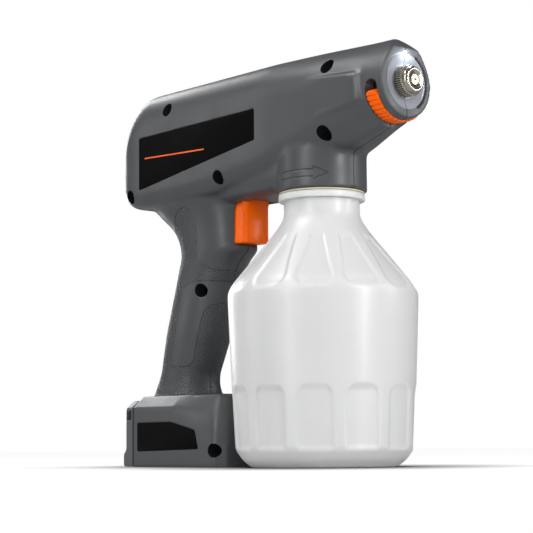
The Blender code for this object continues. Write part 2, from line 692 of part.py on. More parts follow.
def barrel_section(x, low, high, half, low_round, high_round, high_drop, power):
    """One (y, z) section of the barrel: flat sides, rounded below and above."""
    low_round = min(low_round, half)
    high_round = min(high_round, half)
    side = [(0.0, low)]
    side += arc(half - low_round, low + low_round, low_round, low_round, -90.0, 0.0, 6)
    side += arc(half - high_round, high - high_drop, high_round, high_drop, 0.0, 90.0, 8, power)
    side += [(0.0, high)]
    mirrored = [(-y, z) for y, z in reversed(side[1:-1])]
    return [(x, y, z) for y, z in side + mirrored]


def barrel_station(x, wall):
    """The barrel's section at a place ahead of the rounded rear."""
    high_drop = interpolate(((-0.1260, 0.0250), (0.0480, 0.0235), (NOSE_X, HOOD_RISE)), x)
    high = interpolate(((REAR_X + REAR_ROUND_RUN, BARREL_TOP_Z - 0.0015), (0.0, BARREL_TOP_Z),
                        (NOSE_X, NOZZLE_Z + HOOD_RISE)), x)
    return barrel_section(
        x, interpolate(BARREL_LOW, x) + wall, high - wall, interpolate(BARREL_HALF, x) - wall,
        interpolate(BARREL_LOW_ROUND, x) - wall * 0.8, interpolate(BARREL_HIGH_ROUND, x) - wall * 0.8,
        high_drop - wall * 0.8, interpolate(BARREL_POWER, x))


def rear_station(share, wall):
    """A section in the rounded rear; share runs from 0 at the rear face to 1."""
    angle = math.radians(90.0 * share)
    x = REAR_X + wall + (REAR_ROUND_RUN - wall) * (1.0 - math.cos(angle))
    loss = 1.0 - math.sin(angle)
    high = BARREL_TOP_Z - 0.0015 - REAR_ROUND_DROP * loss
    low = BARREL_BOTTOM_Z + 0.0115 * loss ** 2
    half = BARREL_HALF_WIDTH - 0.0085 * loss ** 1.5
    height = high - low
    drop = min(0.0250, height * 0.42)
    return barrel_section(x, low + wall, high - wall, half - wall, 0.0095 - wall * 0.8,
                          0.0200 - wall * 0.8, drop - wall * 0.8, 2.1)


def make_barrel(name, wall, front):
    """The barrel's outer form, or its hollow when a wall is given."""
    sections = [rear_station(share, wall) for share in (0.0, 0.15, 0.32, 0.5, 0.7, 0.9)]
    places = [REAR_X + REAR_ROUND_RUN] + [x for x in BARREL_STEPS if x < front - 0.003] + [front]
    return loft(name, sections + [barrel_station(x, wall) for x in places])


def make_band():
    """The flat band that carries the label on to the nose, standing proud there."""
    front = max(x for x, _ in BAND_OUTLINE)
    slope = (BAND_HALF_WIDTH - BARREL_FRONT_HALF_WIDTH) / (front - BAND_TAPER_X)
    rings = [[], []]
    for x, z in BAND_OUTLINE:
        reach = BARREL_FRONT_HALF_WIDTH - 0.0010
        if x > BAND_TAPER_X:
            reach = BARREL_FRONT_HALF_WIDTH + slope * (x - BAND_TAPER_X)
        rings[0].append((x, -reach, z))
        rings[1].append((x, reach, z))
    return bevelled(loft("band", rings), 0.0008, 1)


def handle_section(z, wall):
    """One level section of the handle."""
    back, front = interpolate(HANDLE_BACK, z), interpolate(HANDLE_FRONT, z)
    centre, reach = (back + front) / 2.0, (front - back) / 2.0 - wall
    half = interpolate(HANDLE_HALF, z) - wall
    ring = arc(centre, 0.0, reach, half, 0.0, 360.0, HANDLE_SEGMENTS, HANDLE_POWER)[:-1]
    return [(x, y, z) for x, y in ring]


def make_handle(name, wall, low=HANDLE_BOTTOM_Z, high=HANDLE_TOP_Z):
    """The handle's outer form, or a thinner one inside it."""
    levels = [low] + [z for z in HANDLE_LEVELS if low + 0.001 < z < high - 0.001] + [high]
    return loft(name, [handle_section(z, wall) for z in levels])


def base_plan(inset, height, side_height, front_height):
    """A level outline of the base, with its own height at each corner."""
    half = BASE_HALF_WIDTH - inset
    front = BASE_FRONT_X - inset * 0.8
    corner = front - BASE_CHAMFER + inset * 0.3
    points = [(BASE_SEAM_X, half, side_height), (-0.0920, half, side_height - 0.0005),
              (corner, half, front_height), (front, half - BASE_CHAMFER, front_height)]
    if height is not None:
        points = [(x, y, height) for x, y, _ in points]
    return points + [(x, -y, z) for x, y, z in reversed(points)]


def make_base():
    """The battery base that belongs to the housing, bevelled along its top."""
    rings = [base_plan(0.0, 0.0, 0.0, 0.0), base_plan(0.0, None, BASE_SIDE_Z, BASE_SIDE_FRONT_Z),
             base_plan(BASE_BEVEL, BASE_HEIGHT, 0.0, 0.0)]
    return loft("base", rings)


def make_outer_form():
    """Barrel, band, collar, belly, handle and base joined into one form."""
    deep = BELLY_CENTRE_Z - BARREL_BOTTOM_Z + BELLY_DROP
    belly = [[(x, y, z) for y, z in arc(0.0, BELLY_CENTRE_Z, half, deep, 0.0, 360.0, 24, 4.0)[:-1]]
             for x, half in ((-0.0950, BELLY_HALF_WIDTH - 0.0010), (-0.0600, BELLY_HALF_WIDTH),
                             (0.0, BELLY_HALF_WIDTH + 0.0040))]
    pieces = [
        make_band(), loft("belly", belly), make_handle("handle", 0.0), make_base(),
        rod("collar", COLLAR_RADIUS, "Z", (0, 0, 0), COLLAR_BOTTOM_Z, COLLAR_TOP_Z, COLLAR_SEGMENTS),
    ]
    middle = (REAR_RIB_COUNT - 1) / 2.0
    for index in range(REAR_RIB_COUNT):
        spot = (REAR_X + 0.0009, 0.0, REAR_RIBS_Z + (index - middle) * REAR_RIB_PITCH)
        pieces.append(rod("rear_rib", REAR_RIB_RADIUS, "Y", spot, -REAR_RIB_HALF_LENGTH, REAR_RIB_HALF_LENGTH, 10))
    return combine(make_barrel("form", 0.0, NOSE_X), pieces, "UNION")


def make_cavity():
    """The hollow inside the housing, left solid at its ribs and screw bosses."""
    half = BASE_HALF_WIDTH - 0.0100
    hollow = make_barrel("hollow", WALL, CAVITY_FRONT_X)
    combine(hollow, [
        make_handle("hollow_handle", HANDLE_WALL, HANDLE_FLOOR_Z, HANDLE_HOLLOW_TOP_Z),
        box("hollow_base", (PACK_FRONT_X + 0.0025, -half, 0.0030),
            (BASE_FRONT_X - WALL, half, BASE_SIDE_FRONT_Z - 0.0010)),
    ], "UNION")
    kept = [box("stop", (BACKSTOP_X - RIB_THICKNESS, -0.05, 0.1280), (BACKSTOP_X, 0.05, 0.1560))]
    for place, low, high in HOUSING_RIBS:
        half_rib = RIB_THICKNESS / 2.0
        kept.append(box("rib", (place - half_rib, -0.05, low), (place + half_rib, 0.05, high)))
    for x, z in SCREW_PLACES:
        kept.append(rod("boss", SCREW_BOSS_RADIUS, "Y", (x, 0, z), -0.05, 0.05, 16))
    return combine(hollow, kept, "DIFFERENCE")


def fit_around(low, high, gap=FIT):
    """A box's corners moved outwards by a gap."""
    return [value - gap for value in low], [value + gap for value in high]


def housing_cutters():
    """Everything that is cut out of the housing for the pieces in it."""
    axis = (0.0, 0.0, NOZZLE_Z)
    cutters = [
        rod("socket_bay", SOCKET_RADIUS + FIT, "Z", (0, 0, 0), COLLAR_BOTTOM_Z - 0.01, SOCKET_TOP_Z + FIT,
            COLLAR_SEGMENTS),
        rod("suction_bay", HOSE_RADIUS + FIT, "Z", (0, 0, 0), SOCKET_TOP_Z, PUMP_BOTTOM_Z + 0.001),
        box("pump_bay", *fit_around((-PUMP_HALF_LENGTH, -PUMP_HALF_WIDTH, PUMP_BOTTOM_Z),
                                    (PUMP_HALF_LENGTH, PUMP_HALF_WIDTH, PUMP_TOP_Z))),
        rod("motor_bay", MOTOR_RADIUS + FIT, "X", (0, 0, MOTOR_Z), MOTOR_REAR_X - FIT, 0.0, 24),
        rod("outlet_bay", HOSE_RADIUS + FIT, "X", axis, 0.0, CAVITY_FRONT_X),
        rod("manifold_bay", MANIFOLD_RADIUS + FIT, "X", axis, MANIFOLD_REAR_X, SPIGOT_X + 0.001, 24),
        rod("sleeve_bay", RING_SLOT_FLOOR + FIT + RUNNING, "X", axis, SLOT_REAR_X, SLOT_FRONT_X, 32),
        box("module_bay", *fit_around(MODULE_LOW, MODULE_HIGH)),
        box("board_bay", *fit_around(BOARD_LOW, (*BOARD_HIGH[:2], BOARD_HIGH[2] + BOARD_PART_HEIGHT))),
        box("switch_bay", *fit_around(SWITCH_LOW, SWITCH_HIGH)),
        box("lead_channel", (CHANNEL_REAR_X, -2 * CHANNEL_HALF, CHANNEL_Z - CHANNEL_HALF),
            (CAVITY_FRONT_X, 2 * CHANNEL_HALF, CHANNEL_Z + CHANNEL_HALF * 0.8)),
        box("electrode_bay", (0.0310, -0.0125, NOZZLE_Z - 0.0125), (CAVITY_FRONT_X, 0.0125, CHANNEL_Z)),
        rod("lamp_bay", LAMP_RADIUS + FIT, "X", (0, 0, LAMP_Z), CAVITY_FRONT_X - 0.002, NOSE_X + 0.01, 12),
    ]
    half_disc = arc(0.0, NOZZLE_Z, RING_SLOT_REACH, RING_SLOT_REACH, 180.0, 360.0, 12)
    half_disc += arc(0.0, NOZZLE_Z, RING_SLOT_FLOOR - 0.001, RING_SLOT_FLOOR - 0.001, 360.0, 180.0, 16)
    cutters.append(cross_plate("ring_slot", half_disc, SLOT_REAR_X, SLOT_FRONT_X))
    dish = [(0.0, DISH_FLOOR_X), (CAP_RADIUS + 0.0006, DISH_FLOOR_X), (DISH_RADIUS, NOSE_X - 0.0004),
            (DISH_RADIUS, NOSE_X + 0.01), (0.0, NOSE_X + 0.01)]
    cutters.append(turned("dish", dish, "X", axis, 32))
    groove = arc(0.0, NOZZLE_Z, 0.0160, 0.0160, -50.0, 55.0, 12)
    groove += arc(0.0, NOZZLE_Z, 0.0149, 0.0149, 55.0, -50.0, 12)
    cutters.append(cross_plate("groove", groove, NOSE_X - 0.0016, NOSE_X + 0.001))
    low, high, ahead = NOZZLE_Z + HOOD_SLOPE_RISE, BARREL_TOP_Z + 0.0110, NOSE_X + 0.0100
    hood = [(HOOD_SLOPE_X, high), (NOSE_X, low), (ahead, low), (ahead, high)]
    cutters.append(side_plate("hood_slope", hood, -2.0 * NOSE_RADIUS, 2.0 * NOSE_RADIUS))
    return cutters


def handle_cutters():
    """Cuts for trigger, spring, battery contacts and battery pack."""
    side = TRIGGER_HALF_WIDTH + RUNNING
    half = PACK_HALF_WIDTH + FIT
    bay = box("pack_bay", (BASE_REAR_X - 0.02, -half, -0.01), (PACK_FRONT_X + FIT, half, PACK_HEIGHT + FIT))
    rails = [two_sided("rail", (BASE_SEAM_X + 0.0040, half + FIT - RAIL_DEPTH, RAIL_LOW_Z),
                       (PACK_FRONT_X + 0.01, half + 0.01, RAIL_HIGH_Z), end) for end in SIDES]
    return [
        box("trigger_slot", (TRIGGER_SLOT_REAR_X, -side, TRIGGER_BOTTOM_Z - RUNNING),
            (TRIGGER_FRONT_X + 0.01, side, TRIGGER_TOP_Z + RUNNING)),
        rod("spring_bay", SPRING_RADIUS + SPRING_WIRE + RUNNING, "X", (0, 0, SPRING_Z),
            BACKSTOP_X, TRIGGER_REAR_X, 16),
        combine(bay, rails, "DIFFERENCE"),
        box("contact_bay", CONTACT_BAY_LOW, CONTACT_BAY_HIGH),
    ]


def make_grip_blank(name, margin, depth):
    """The grip's region of the handle, down to a depth below its surface."""
    region = side_plate(name, grown(GRIP_OUTLINE, margin), -0.05, 0.05)
    bare = side_plate("bare_panel", grown(PANEL_OUTLINE, -margin), -0.06, 0.06)
    core = make_handle("grip_core", depth, HANDLE_BOTTOM_Z, HANDLE_TOP_Z)
    return combine(region, [bare, core], "DIFFERENCE")


def label_reach(outline_x):
    """Half-width of the barrel where a side label lies."""
    return interpolate(BARREL_HALF, outline_x)


def side_label_plate(name, margin, outer, inner, side):
    """A plate that follows the barrel's flat, slightly tapering side."""
    outline = grown(SIDE_LABEL, margin)
    rings = [[(x, side * (label_reach(x) + depth), z) for x, z in outline] for depth in (inner, outer)]
    return loft(name, rings)


def base_label_plate(name, margin, outer, inner, side):
    """A plate on the flat side of the base."""
    outline = grown(BASE_LABEL, margin)
    ends = sorted((side * (BASE_HALF_WIDTH + inner), side * (BASE_HALF_WIDTH + outer)))
    return side_plate(name, outline, *ends)


def part_in_halves(whole, name):
    """Cut an object along the middle plane into a right and a left piece."""
    reach = 0.3
    left = copied(whole, name + "_left")
    whole.name = name + "_right"
    for half, low, high in ((whole, -PARTING / 2.0, reach), (left, -reach, PARTING / 2.0)):
        combine(half, [box("other_side", (-reach, low, -reach), (reach, high, reach))], "DIFFERENCE", "MANIFOLD")
        plain_faced(half)


def make_housing():
    """Both halves of the housing, parted along the middle."""
    cutters = [make_cavity(), make_grip_blank("grip_pocket", FIT, GRIP_THICKNESS + FIT)]
    cutters += housing_cutters() + handle_cutters()
    for side in SIDES:
        cutters.append(side_label_plate("label_pocket", FIT, 0.001, -LABEL_POCKET, side))
        cutters.append(base_label_plate("base_label_pocket", FIT, 0.001, -LABEL_POCKET, side))
    for x, z in SCREW_PLACES:
        hole = [(0.0, -0.05), (SCREW_RECESS_RADIUS, -0.05), (SCREW_RECESS_RADIUS, SCREW_SEAT_Y),
                (SCREW_SHANK_RADIUS + FIT, SCREW_SEAT_Y), (SCREW_SHANK_RADIUS + FIT, SCREW_TIP_Y + 0.001),
                (0.0, SCREW_TIP_Y + 0.001)]
        cutters.append(turned("screw_hole", hole, "Y", (x, 0, z), 16))
    part_in_halves(combine(make_outer_form(), cutters, "DIFFERENCE", "MANIFOLD"), "housing")


def make_grips():
    """The soft panels that fill the handle's pockets."""
    blank = make_handle("blank", 0.0)
    region = make_grip_blank("grip_region", 0.0, GRIP_THICKNESS)
    part_in_halves(combine(blank, [region], "INTERSECT"), "grip")


def make_labels():
    """Bare plates on both sides of barrel and base."""
    inner = FIT - LABEL_POCKET
    outer = inner + LABEL_THICKNESS
    for side, name in zip(SIDES, ("right", "left")):
        side_label_plate("label_" + name, 0.0, outer, inner, side)
        base_label_plate("base_label_" + name, 0.0, outer, inner, side)


def make_screws():
    """Seven self-tapping screws, driven from the right."""
    head = SCREW_SEAT_Y - FIT
    profile = [(0.0, head - SCREW_HEAD_HEIGHT), (SCREW_HEAD_RADIUS, head - SCREW_HEAD_HEIGHT * 0.8),
               (SCREW_HEAD_RADIUS, head), (SCREW_SHANK_RADIUS, head),
               (SCREW_SHANK_RADIUS, SCREW_TIP_Y - 0.002), (0.0, SCREW_TIP_Y)]
    for index, (x, z) in enumerate(SCREW_PLACES):
        turned(f"housing_screw_{index + 1}", profile, "Y", (x, 0, z), 10)


# ---------------------------------------------------------------- nozzle end


def make_flow_ring():
    """The ribbed sector that turns in the nose's slot, and its sleeve."""
    low, high = SLOT_REAR_X + RUNNING, SLOT_FRONT_X - RUNNING
    inner = RING_SLOT_FLOOR + RUNNING
    first = -math.pi / 2.0 - FLOW_RING_HALF_ANGLE
    outline = []
    steps = FLOW_RING_RIDGES * 2
    for step in range(steps + 1):
        angle = first + 2.0 * FLOW_RING_HALF_ANGLE * step / steps
        reach = FLOW_RING_RADIUS - (FLOW_RING_RIDGE if step % 2 else 0.0)
        outline.append((-reach * math.cos(angle), NOZZLE_Z + reach * math.sin(angle)))
    for step in range(16, -1, -1):
        angle = first + 2.0 * FLOW_RING_HALF_ANGLE * step / 16
        outline.append((-inner * math.cos(angle), NOZZLE_Z + inner * math.sin(angle)))
    cross_plate("flow_ring", outline, low, high)
    pipe("flow_sleeve", RING_SLOT_FLOOR, MANIFOLD_RADIUS + RUNNING, "X", (0, 0, NOZZLE_Z), low, high, 32)


def make_nozzle():
    """Manifold, insert, cap and seal on the nozzle axis."""
    axis = (0.0, 0.0, NOZZLE_Z)
    bore = 0.0012
    manifold = [(bore, MANIFOLD_BARB_X), (BARB_RADIUS, MANIFOLD_BARB_X), (BARB_RADIUS, MANIFOLD_REAR_X),
                (MANIFOLD_RADIUS, MANIFOLD_REAR_X), (MANIFOLD_RADIUS, SPIGOT_X - FIT),
                (SPIGOT_RADIUS, SPIGOT_X - FIT), (SPIGOT_RADIUS, SPIGOT_FRONT_X), (bore, SPIGOT_FRONT_X)]
    turned("nozzle_manifold", manifold, "X", axis, 24)
    flange = SPIGOT_FRONT_X + FIT
    tip = CAP_FRONT_X - 0.0004
    edge = SPIGOT_RADIUS - FIT
    insert = [(0.0005, flange), (edge, flange), (edge, flange + INSERT_FLANGE),
              (0.0031, flange + INSERT_FLANGE), (0.0029, tip - 0.0006), (0.0020, tip), (0.0005, tip - 0.0008)]
    turned("nozzle_insert", insert, "X", axis, 20)
    knurl = CAP_REAR_X + CAP_KNURL_LENGTH
    inner = SPIGOT_RADIUS + FIT
    groove_low, groove_high = CAP_REAR_X + 0.0007, CAP_REAR_X + 0.0025
    deep = inner + 0.0012
    cap = [(inner, CAP_REAR_X), (CAP_RADIUS, CAP_REAR_X), (CAP_RADIUS, knurl),
           (CAP_RADIUS - 0.0009, knurl + 0.0008), (CAP_RADIUS - 0.0025, CAP_FRONT_X - 0.0006),
           (0.0042, CAP_FRONT_X), (0.0034, CAP_FRONT_X), (0.0034, CAP_ROOF_X), (inner, CAP_ROOF_X),
           (inner, groove_high), (deep, groove_high), (deep, groove_low), (inner, groove_low)]
    turned("nozzle_cap", cap, "X", axis, CAP_RIDGES * 2, ridge=0.0005, ridged=(1, 2))
    middle = (groove_low + groove_high) / 2.0
    ring = arc(inner + 0.0003, middle, 0.0005, 0.0005, 0.0, 360.0, 6)[:-1]
    turned("nozzle_oring", ring, "X", axis, 24)
    electrode = MANIFOLD_RADIUS + FIT
    pipe("electrode_ring", electrode + ELECTRODE_WALL, electrode, "X", axis,
         ELECTRODE_X, ELECTRODE_X + ELECTRODE_LENGTH, 24)
    lamp = [(0.0, LAMP_REAR_X), (LAMP_RADIUS, LAMP_REAR_X), (LAMP_RADIUS, NOSE_X - 0.0014),
            (LAMP_RADIUS * 0.7, NOSE_X - 0.0006), (0.0, NOSE_X - 0.0003)]
    turned("lamp", lamp, "X", (0, 0, LAMP_Z), 12)


# ---------------------------------------------------------------- inside


def make_pump():
    """Pump head, motor and the two short hoses."""
    axis = (0.0, 0.0, NOZZLE_Z)
    head = box("pump_head", (-PUMP_HALF_LENGTH, -PUMP_HALF_WIDTH, PUMP_BOTTOM_Z),
               (PUMP_HALF_LENGTH, PUMP_HALF_WIDTH, PUMP_TOP_Z))
    bevelled(head, 0.0015, 1)
    barbs = [rod("inlet", BARB_RADIUS, "Z", (0, 0, 0), PUMP_SUCTION_Z, PUMP_BOTTOM_Z + 0.002, 12),
             rod("outlet", BARB_RADIUS, "X", axis, PUMP_HALF_LENGTH - 0.002, PUMP_OUTLET_X, 12)]
    combine(head, barbs, "UNION")
    rod("pump_motor", MOTOR_RADIUS, "X", (0, 0, MOTOR_Z), MOTOR_REAR_X, MOTOR_FRONT_X, 24)
    bore = BARB_RADIUS + FIT
    pipe("suction_hose", HOSE_RADIUS, bore, "Z", (0, 0, 0), SOCKET_TOP_Z + FIT, PUMP_BOTTOM_Z - FIT, 16)
    pipe("pressure_hose", HOSE_RADIUS, bore, "X", axis, PUMP_HALF_LENGTH + FIT, MANIFOLD_REAR_X - FIT, 16)


def make_electrics():
    """Board, booster module, switch and the leads between them."""
    board = box("control_board", BOARD_LOW, BOARD_HIGH)
    top = BOARD_HIGH[2]
    parts = [box("part", (x - half, y - half, top - 0.0005), (x + half, y + half, top + height))
             for x, y, half, height in BOARD_PARTS]
    combine(board, parts, "UNION")
    bevelled(box("high_voltage_module", MODULE_LOW, MODULE_HIGH), 0.0015, 1)
    switch = box("trigger_switch", SWITCH_LOW, SWITCH_HIGH)
    hole = rod("hole", PLUNGER_RADIUS + RUNNING, "X", (0, 0, PLUNGER_Z), SWITCH_HIGH[0] - 0.0090,
               SWITCH_HIGH[0] + 0.001, 12)
    combine(switch, [hole], "DIFFERENCE")
    make_barrel_leads()
    make_handle_leads()


def make_barrel_leads():
    """High-voltage, lamp and motor leads along the top of the barrel."""
    channel, side = CHANNEL_Z, LEAD_OFFSET_Y
    module_x, module_z = MODULE_HIGH[0] + FIT, MODULE_HIGH[2] - 0.0070
    climb = (CHANNEL_REAR_X, module_z + 0.0010)
    high_voltage = [(module_x, side, module_z), (climb[0], side, climb[1]), (-0.0420, side, channel),
                    (0.0000, side, channel), (0.0260, side, channel), (0.0330, side, channel - 0.0015),
                    (0.0367, side, NOZZLE_Z + MANIFOLD_RADIUS + 0.0040)]
    wire("high_voltage_lead", smooth_route(high_voltage), LEAD_RADIUS, 1)
    lamp = [(LAMP_REAR_X - 0.0004, 0, LAMP_Z), (0.0420, 0, LAMP_Z), (0.0355, -side, channel - 0.0008),
            (0.0260, -side, channel), (0.0000, -side, channel), (-0.0420, -side, channel),
            (climb[0], -side, climb[1]), (module_x, -side, module_z - 0.0010)]
    wire("lamp_lead", smooth_route(lamp), THIN_LEAD_RADIUS, 1)
    motor = [(MOTOR_REAR_X - FIT, 0, MOTOR_Z - 0.0030), (MOTOR_REAR_X - 0.0040, 0, MOTOR_Z - 0.0035),
             (-0.0610, 0, MOTOR_Z - 0.0065), (-0.0655, 0, MOTOR_Z - 0.0085), (-0.0670, 0, BOARD_HIGH[2] + FIT)]
    wire("motor_lead", smooth_route(motor), THIN_LEAD_RADIUS, 1)


def make_handle_leads():
    """Switch and power leads up through the handle."""
    board_z = BOARD_LOW[2] - FIT
    switch_route = [(-0.0900, 0.0045, SWITCH_HIGH[2] + FIT), (-0.0895, 0.0065, SWITCH_HIGH[2] + 0.0075),
                    (-0.0880, 0.0060, 0.1650), (-0.0870, 0.0, board_z - 0.0077), (-0.0870, 0.0, board_z)]
    wire("switch_lead", smooth_route(switch_route), THIN_LEAD_RADIUS, 1)
    power = [(-0.1165, 0, CONTACT_BAY_HIGH[2] + 0.0003), (-0.1170, 0, 0.0600), (-0.1100, 0, 0.0850),
             (-0.1040, 0, 0.1080), (-0.1040, 0, 0.1250), (-0.1060, 0, 0.1450), (-0.1060, 0, 0.1650),
             (-0.1050, 0, board_z)]
    wire("power_lead", smooth_route(power), LEAD_RADIUS, 1)


def make_trigger():
    """Trigger, return spring and the plunger that it pushes."""
    front, rear, low, high = TRIGGER_FRONT_X, TRIGGER_REAR_X, TRIGGER_BOTTOM_Z, TRIGGER_TOP_Z
    outline = [(rear, low), (front - 0.0012, low)]
    for step in range(1, 8):
        share = step / 8.0
        outline.append((front - 0.0012 * (1 - share) - TRIGGER_DISH * math.sin(math.pi * share),
                        low + (high - low) * share))
    outline += [(front, high), (rear, high)]
    trigger = side_plate("trigger", outline, -TRIGGER_HALF_WIDTH, TRIGGER_HALF_WIDTH)
    bevelled(trigger, 0.0012, 2, math.radians(50.0))
    rest_at(trigger, (rear, 0.0, (low + high) / 2.0))
    plunger = rod("switch_plunger", PLUNGER_RADIUS, "X", (0, 0, PLUNGER_Z), SWITCH_HIGH[0] - 0.0013, rear - FIT, 12)
    rest_at(plunger, (rear, 0.0, PLUNGER_Z))
    coil("trigger_spring", "X", (0, 0, SPRING_Z), TRIGGER_SPRING_REAR_X + SPRING_WIRE,
         rear - FIT - SPRING_WIRE, SPRING_RADIUS, SPRING_WIRE, SPRING_TURNS)


def rest_at(made, point):
    """Move an object's origin to a point, with its shape left in place."""
    made.data.transform(Matrix.Translation(-Vector(point)))
    made.location = point


# ---------------------------------------------------------------- battery


def lid_section(x, inset, lip):
    """A (y, z) section of the battery lid, in line with the base's sides."""
    half, side, top = BASE_HALF_WIDTH - inset, BASE_SIDE_Z - inset, HANDLE_BOTTOM_Z - FIT - inset
    points = [(half, FIT + inset * 0.5), (half, side), (half - BASE_BEVEL + LID_SHOULDER, top)]
    points += [(-y, z) for y, z in reversed(points)]
    return [(x - (lip if z < BASE_LIP_HEIGHT else 0.0), y, z) for y, z in points]


def make_battery():
    """The pack that slides out of the base to the rear."""
    half, high = PACK_HALF_WIDTH, PACK_HEIGHT
    bay_half = half - PACK_SIDE_WALL
    cell_front = PACK_FRONT_X - PACK_FRONT_WALL
    cell_rear = cell_front - CELL_LENGTH
    case = box("battery_case", (BASE_SEAM_X, -half, 0.0), (PACK_FRONT_X, half, high))
    cuts = [box("pocket", *fit_around(TERMINALS_LOW, (TERMINALS_HIGH[0], TERMINALS_HIGH[1], high + 0.001)))]
    for side in SIDES:
        cuts.append(two_sided("bay", (BASE_SEAM_X - 0.01, PACK_DIVIDER / 2.0, PACK_WALL),
                              (cell_front + FIT, bay_half, high - PACK_WALL), side))
        cuts.append(two_sided("groove", (BASE_SEAM_X - 0.01, half - RAIL_DEPTH, RAIL_LOW_Z - FIT),
                              (PACK_FRONT_X + 0.01, half + 0.01, RAIL_HIGH_Z + FIT), side))
    combine(case, cuts, "DIFFERENCE")
    box("battery_terminals", TERMINALS_LOW, TERMINALS_HIGH)
    middle = (PACK_DIVIDER / 2.0 + bay_half) / 2.0
    nub = [(0.0, cell_rear), (CELL_RADIUS, cell_rear), (CELL_RADIUS, cell_front - CELL_NUB_LENGTH),
           (CELL_NUB_RADIUS, cell_front - CELL_NUB_LENGTH), (CELL_NUB_RADIUS, cell_front), (0.0, cell_front)]
    rows = (PACK_WALL + FIT + CELL_RADIUS, high - PACK_WALL - FIT - CELL_RADIUS)
    places = [(0.0, side * middle, height) for height in rows for side in SIDES]
    for index, place in enumerate(places):
        turned(f"battery_cell_{index + 1}", nub, "X", place, 20)
    box("battery_contacts", *fit_around(CONTACT_BAY_LOW, CONTACT_BAY_HIGH, -FIT))
    make_lid(BASE_SEAM_X - 2.0 * FIT, cell_rear - FIT)
    make_latches()


def make_lid(front, plug_front):
    """The rear cap of the pack, with its foot lip and its plugs into the case."""
    lid = loft("battery_lid", [lid_section(front, 0.0, 0.0),
                               lid_section(BASE_REAR_X + LID_ROUND, 0.0, BASE_LIP * 0.7),
                               lid_section(BASE_REAR_X, LID_ROUND, BASE_LIP)])
    plug_low = (front - PACK_WALL, PACK_DIVIDER / 2.0 + FIT, PACK_WALL + FIT)
    plug_high = (plug_front, PACK_HALF_WIDTH - PACK_SIDE_WALL - FIT, PACK_HEIGHT - PACK_WALL - FIT)
    combine(lid, [two_sided("plug", plug_low, plug_high, side) for side in SIDES], "UNION")
    bay = fit_around(LATCH_LOW, (LATCH_HIGH[0], LATCH_HIGH[1] + 0.01, LATCH_HIGH[2]))
    spring_low = (LATCH_LOW[0], LATCH_LOW[1] - LATCH_SPRING_ROOM, LATCH_LOW[2])
    cuts = [two_sided("latch_bay", *bay, side) for side in SIDES]
    cuts += [two_sided("spring_bay", spring_low, LATCH_HIGH, side) for side in SIDES]
    combine(lid, cuts, "DIFFERENCE")


def make_latches():
    """The two squeeze latches in the sides of the lid, each with its spring."""
    middle = (Vector(LATCH_LOW) + Vector(LATCH_HIGH)) / 2.0
    inner = LATCH_LOW[1] - LATCH_SPRING_ROOM + LATCH_SPRING_WIRE + FIT
    outer = LATCH_LOW[1] - LATCH_SPRING_WIRE - FIT
    for side, name in zip(SIDES, ("right", "left")):
        latch = bevelled(two_sided("battery_latch_" + name, LATCH_LOW, LATCH_HIGH, side), 0.0005, 1)
        rest_at(latch, (middle.x, side * LATCH_HIGH[1], middle.z))
        ends = sorted((side * inner, side * outer))
        coil("latch_spring_" + name, "Y", (middle.x, 0.0, middle.z), *ends,
             LATCH_SPRING_RADIUS, LATCH_SPRING_WIRE, LATCH_SPRING_TURNS)


# ---------------------------------------------------------------- finishes

FINISHES = {
    "housing_plastic": ("#56585a", 0.42, 0.0, ("housing_",)),
    "grip_rubber": ("#3e4042", 0.80, 0.0, ("grip_",)),
    "label_film": ("#0f1010", 0.45, 0.0, ("label_", "base_label_")),
    "orange_plastic": ("#f4640c", 0.35, 0.0, ("trigger", "flow_ring")),
    "sleeve_plastic": ("#2b2c2d", 0.45, 0.0,
                       ("flow_sleeve", "battery_latch_", "trigger_switch", "switch_plunger")),
    "tank_plastic": ("#e9eaea", 0.30, 0.0, ("tank",)),
    "seal_rubber": ("#c9c3ad", 0.70, 0.0, ("tank_gasket", "nozzle_oring")),
    "clear_tube": ("#d8dcdd", 0.25, 0.0, ("pickup_", "suction_hose", "pressure_hose")),
    "nickel": ("#d6d3c8", 0.18, 1.0, ("nozzle_cap", "nozzle_insert")),
    "steel": ("#9a9da0", 0.35, 1.0,
              ("housing_screw_", "trigger_spring", "latch_spring_", "electrode_ring", "pump_motor")),
    "dark_plastic": ("#1b1c1e", 0.50, 0.0, ("high_voltage_module", "battery_contacts", "tank_socket")),
    "pump_plastic": ("#e2e0d8", 0.45, 0.0, ("pump_head", "nozzle_manifold")),
    "board_laminate": ("#1f5a34", 0.50, 0.0, ("control_board",)),
    "lead_sleeve": ("#8e1b16", 0.50, 0.0,
                    ("high_voltage_lead", "power_lead", "motor_lead", "switch_lead", "lamp_lead")),
    "cell_wrap": ("#2f6fb0", 0.40, 0.0, ("battery_cell_",)),
    "contact_brass": ("#c9a65a", 0.30, 1.0, ("battery_terminals",)),
    "pack_plastic": ("#505254", 0.45, 0.0, ("battery_case", "battery_lid")),
    "lamp_lens": ("#f4f7fa", 0.10, 0.0, ("lamp",)),
}


def finish_for(name):
    """The finish whose prefix fits an object's name best."""
    found = []
    for finish, entry in FINISHES.items():
        found += [(len(prefix), finish) for prefix in entry[3] if name.startswith(prefix)]
    return max(found)[1]


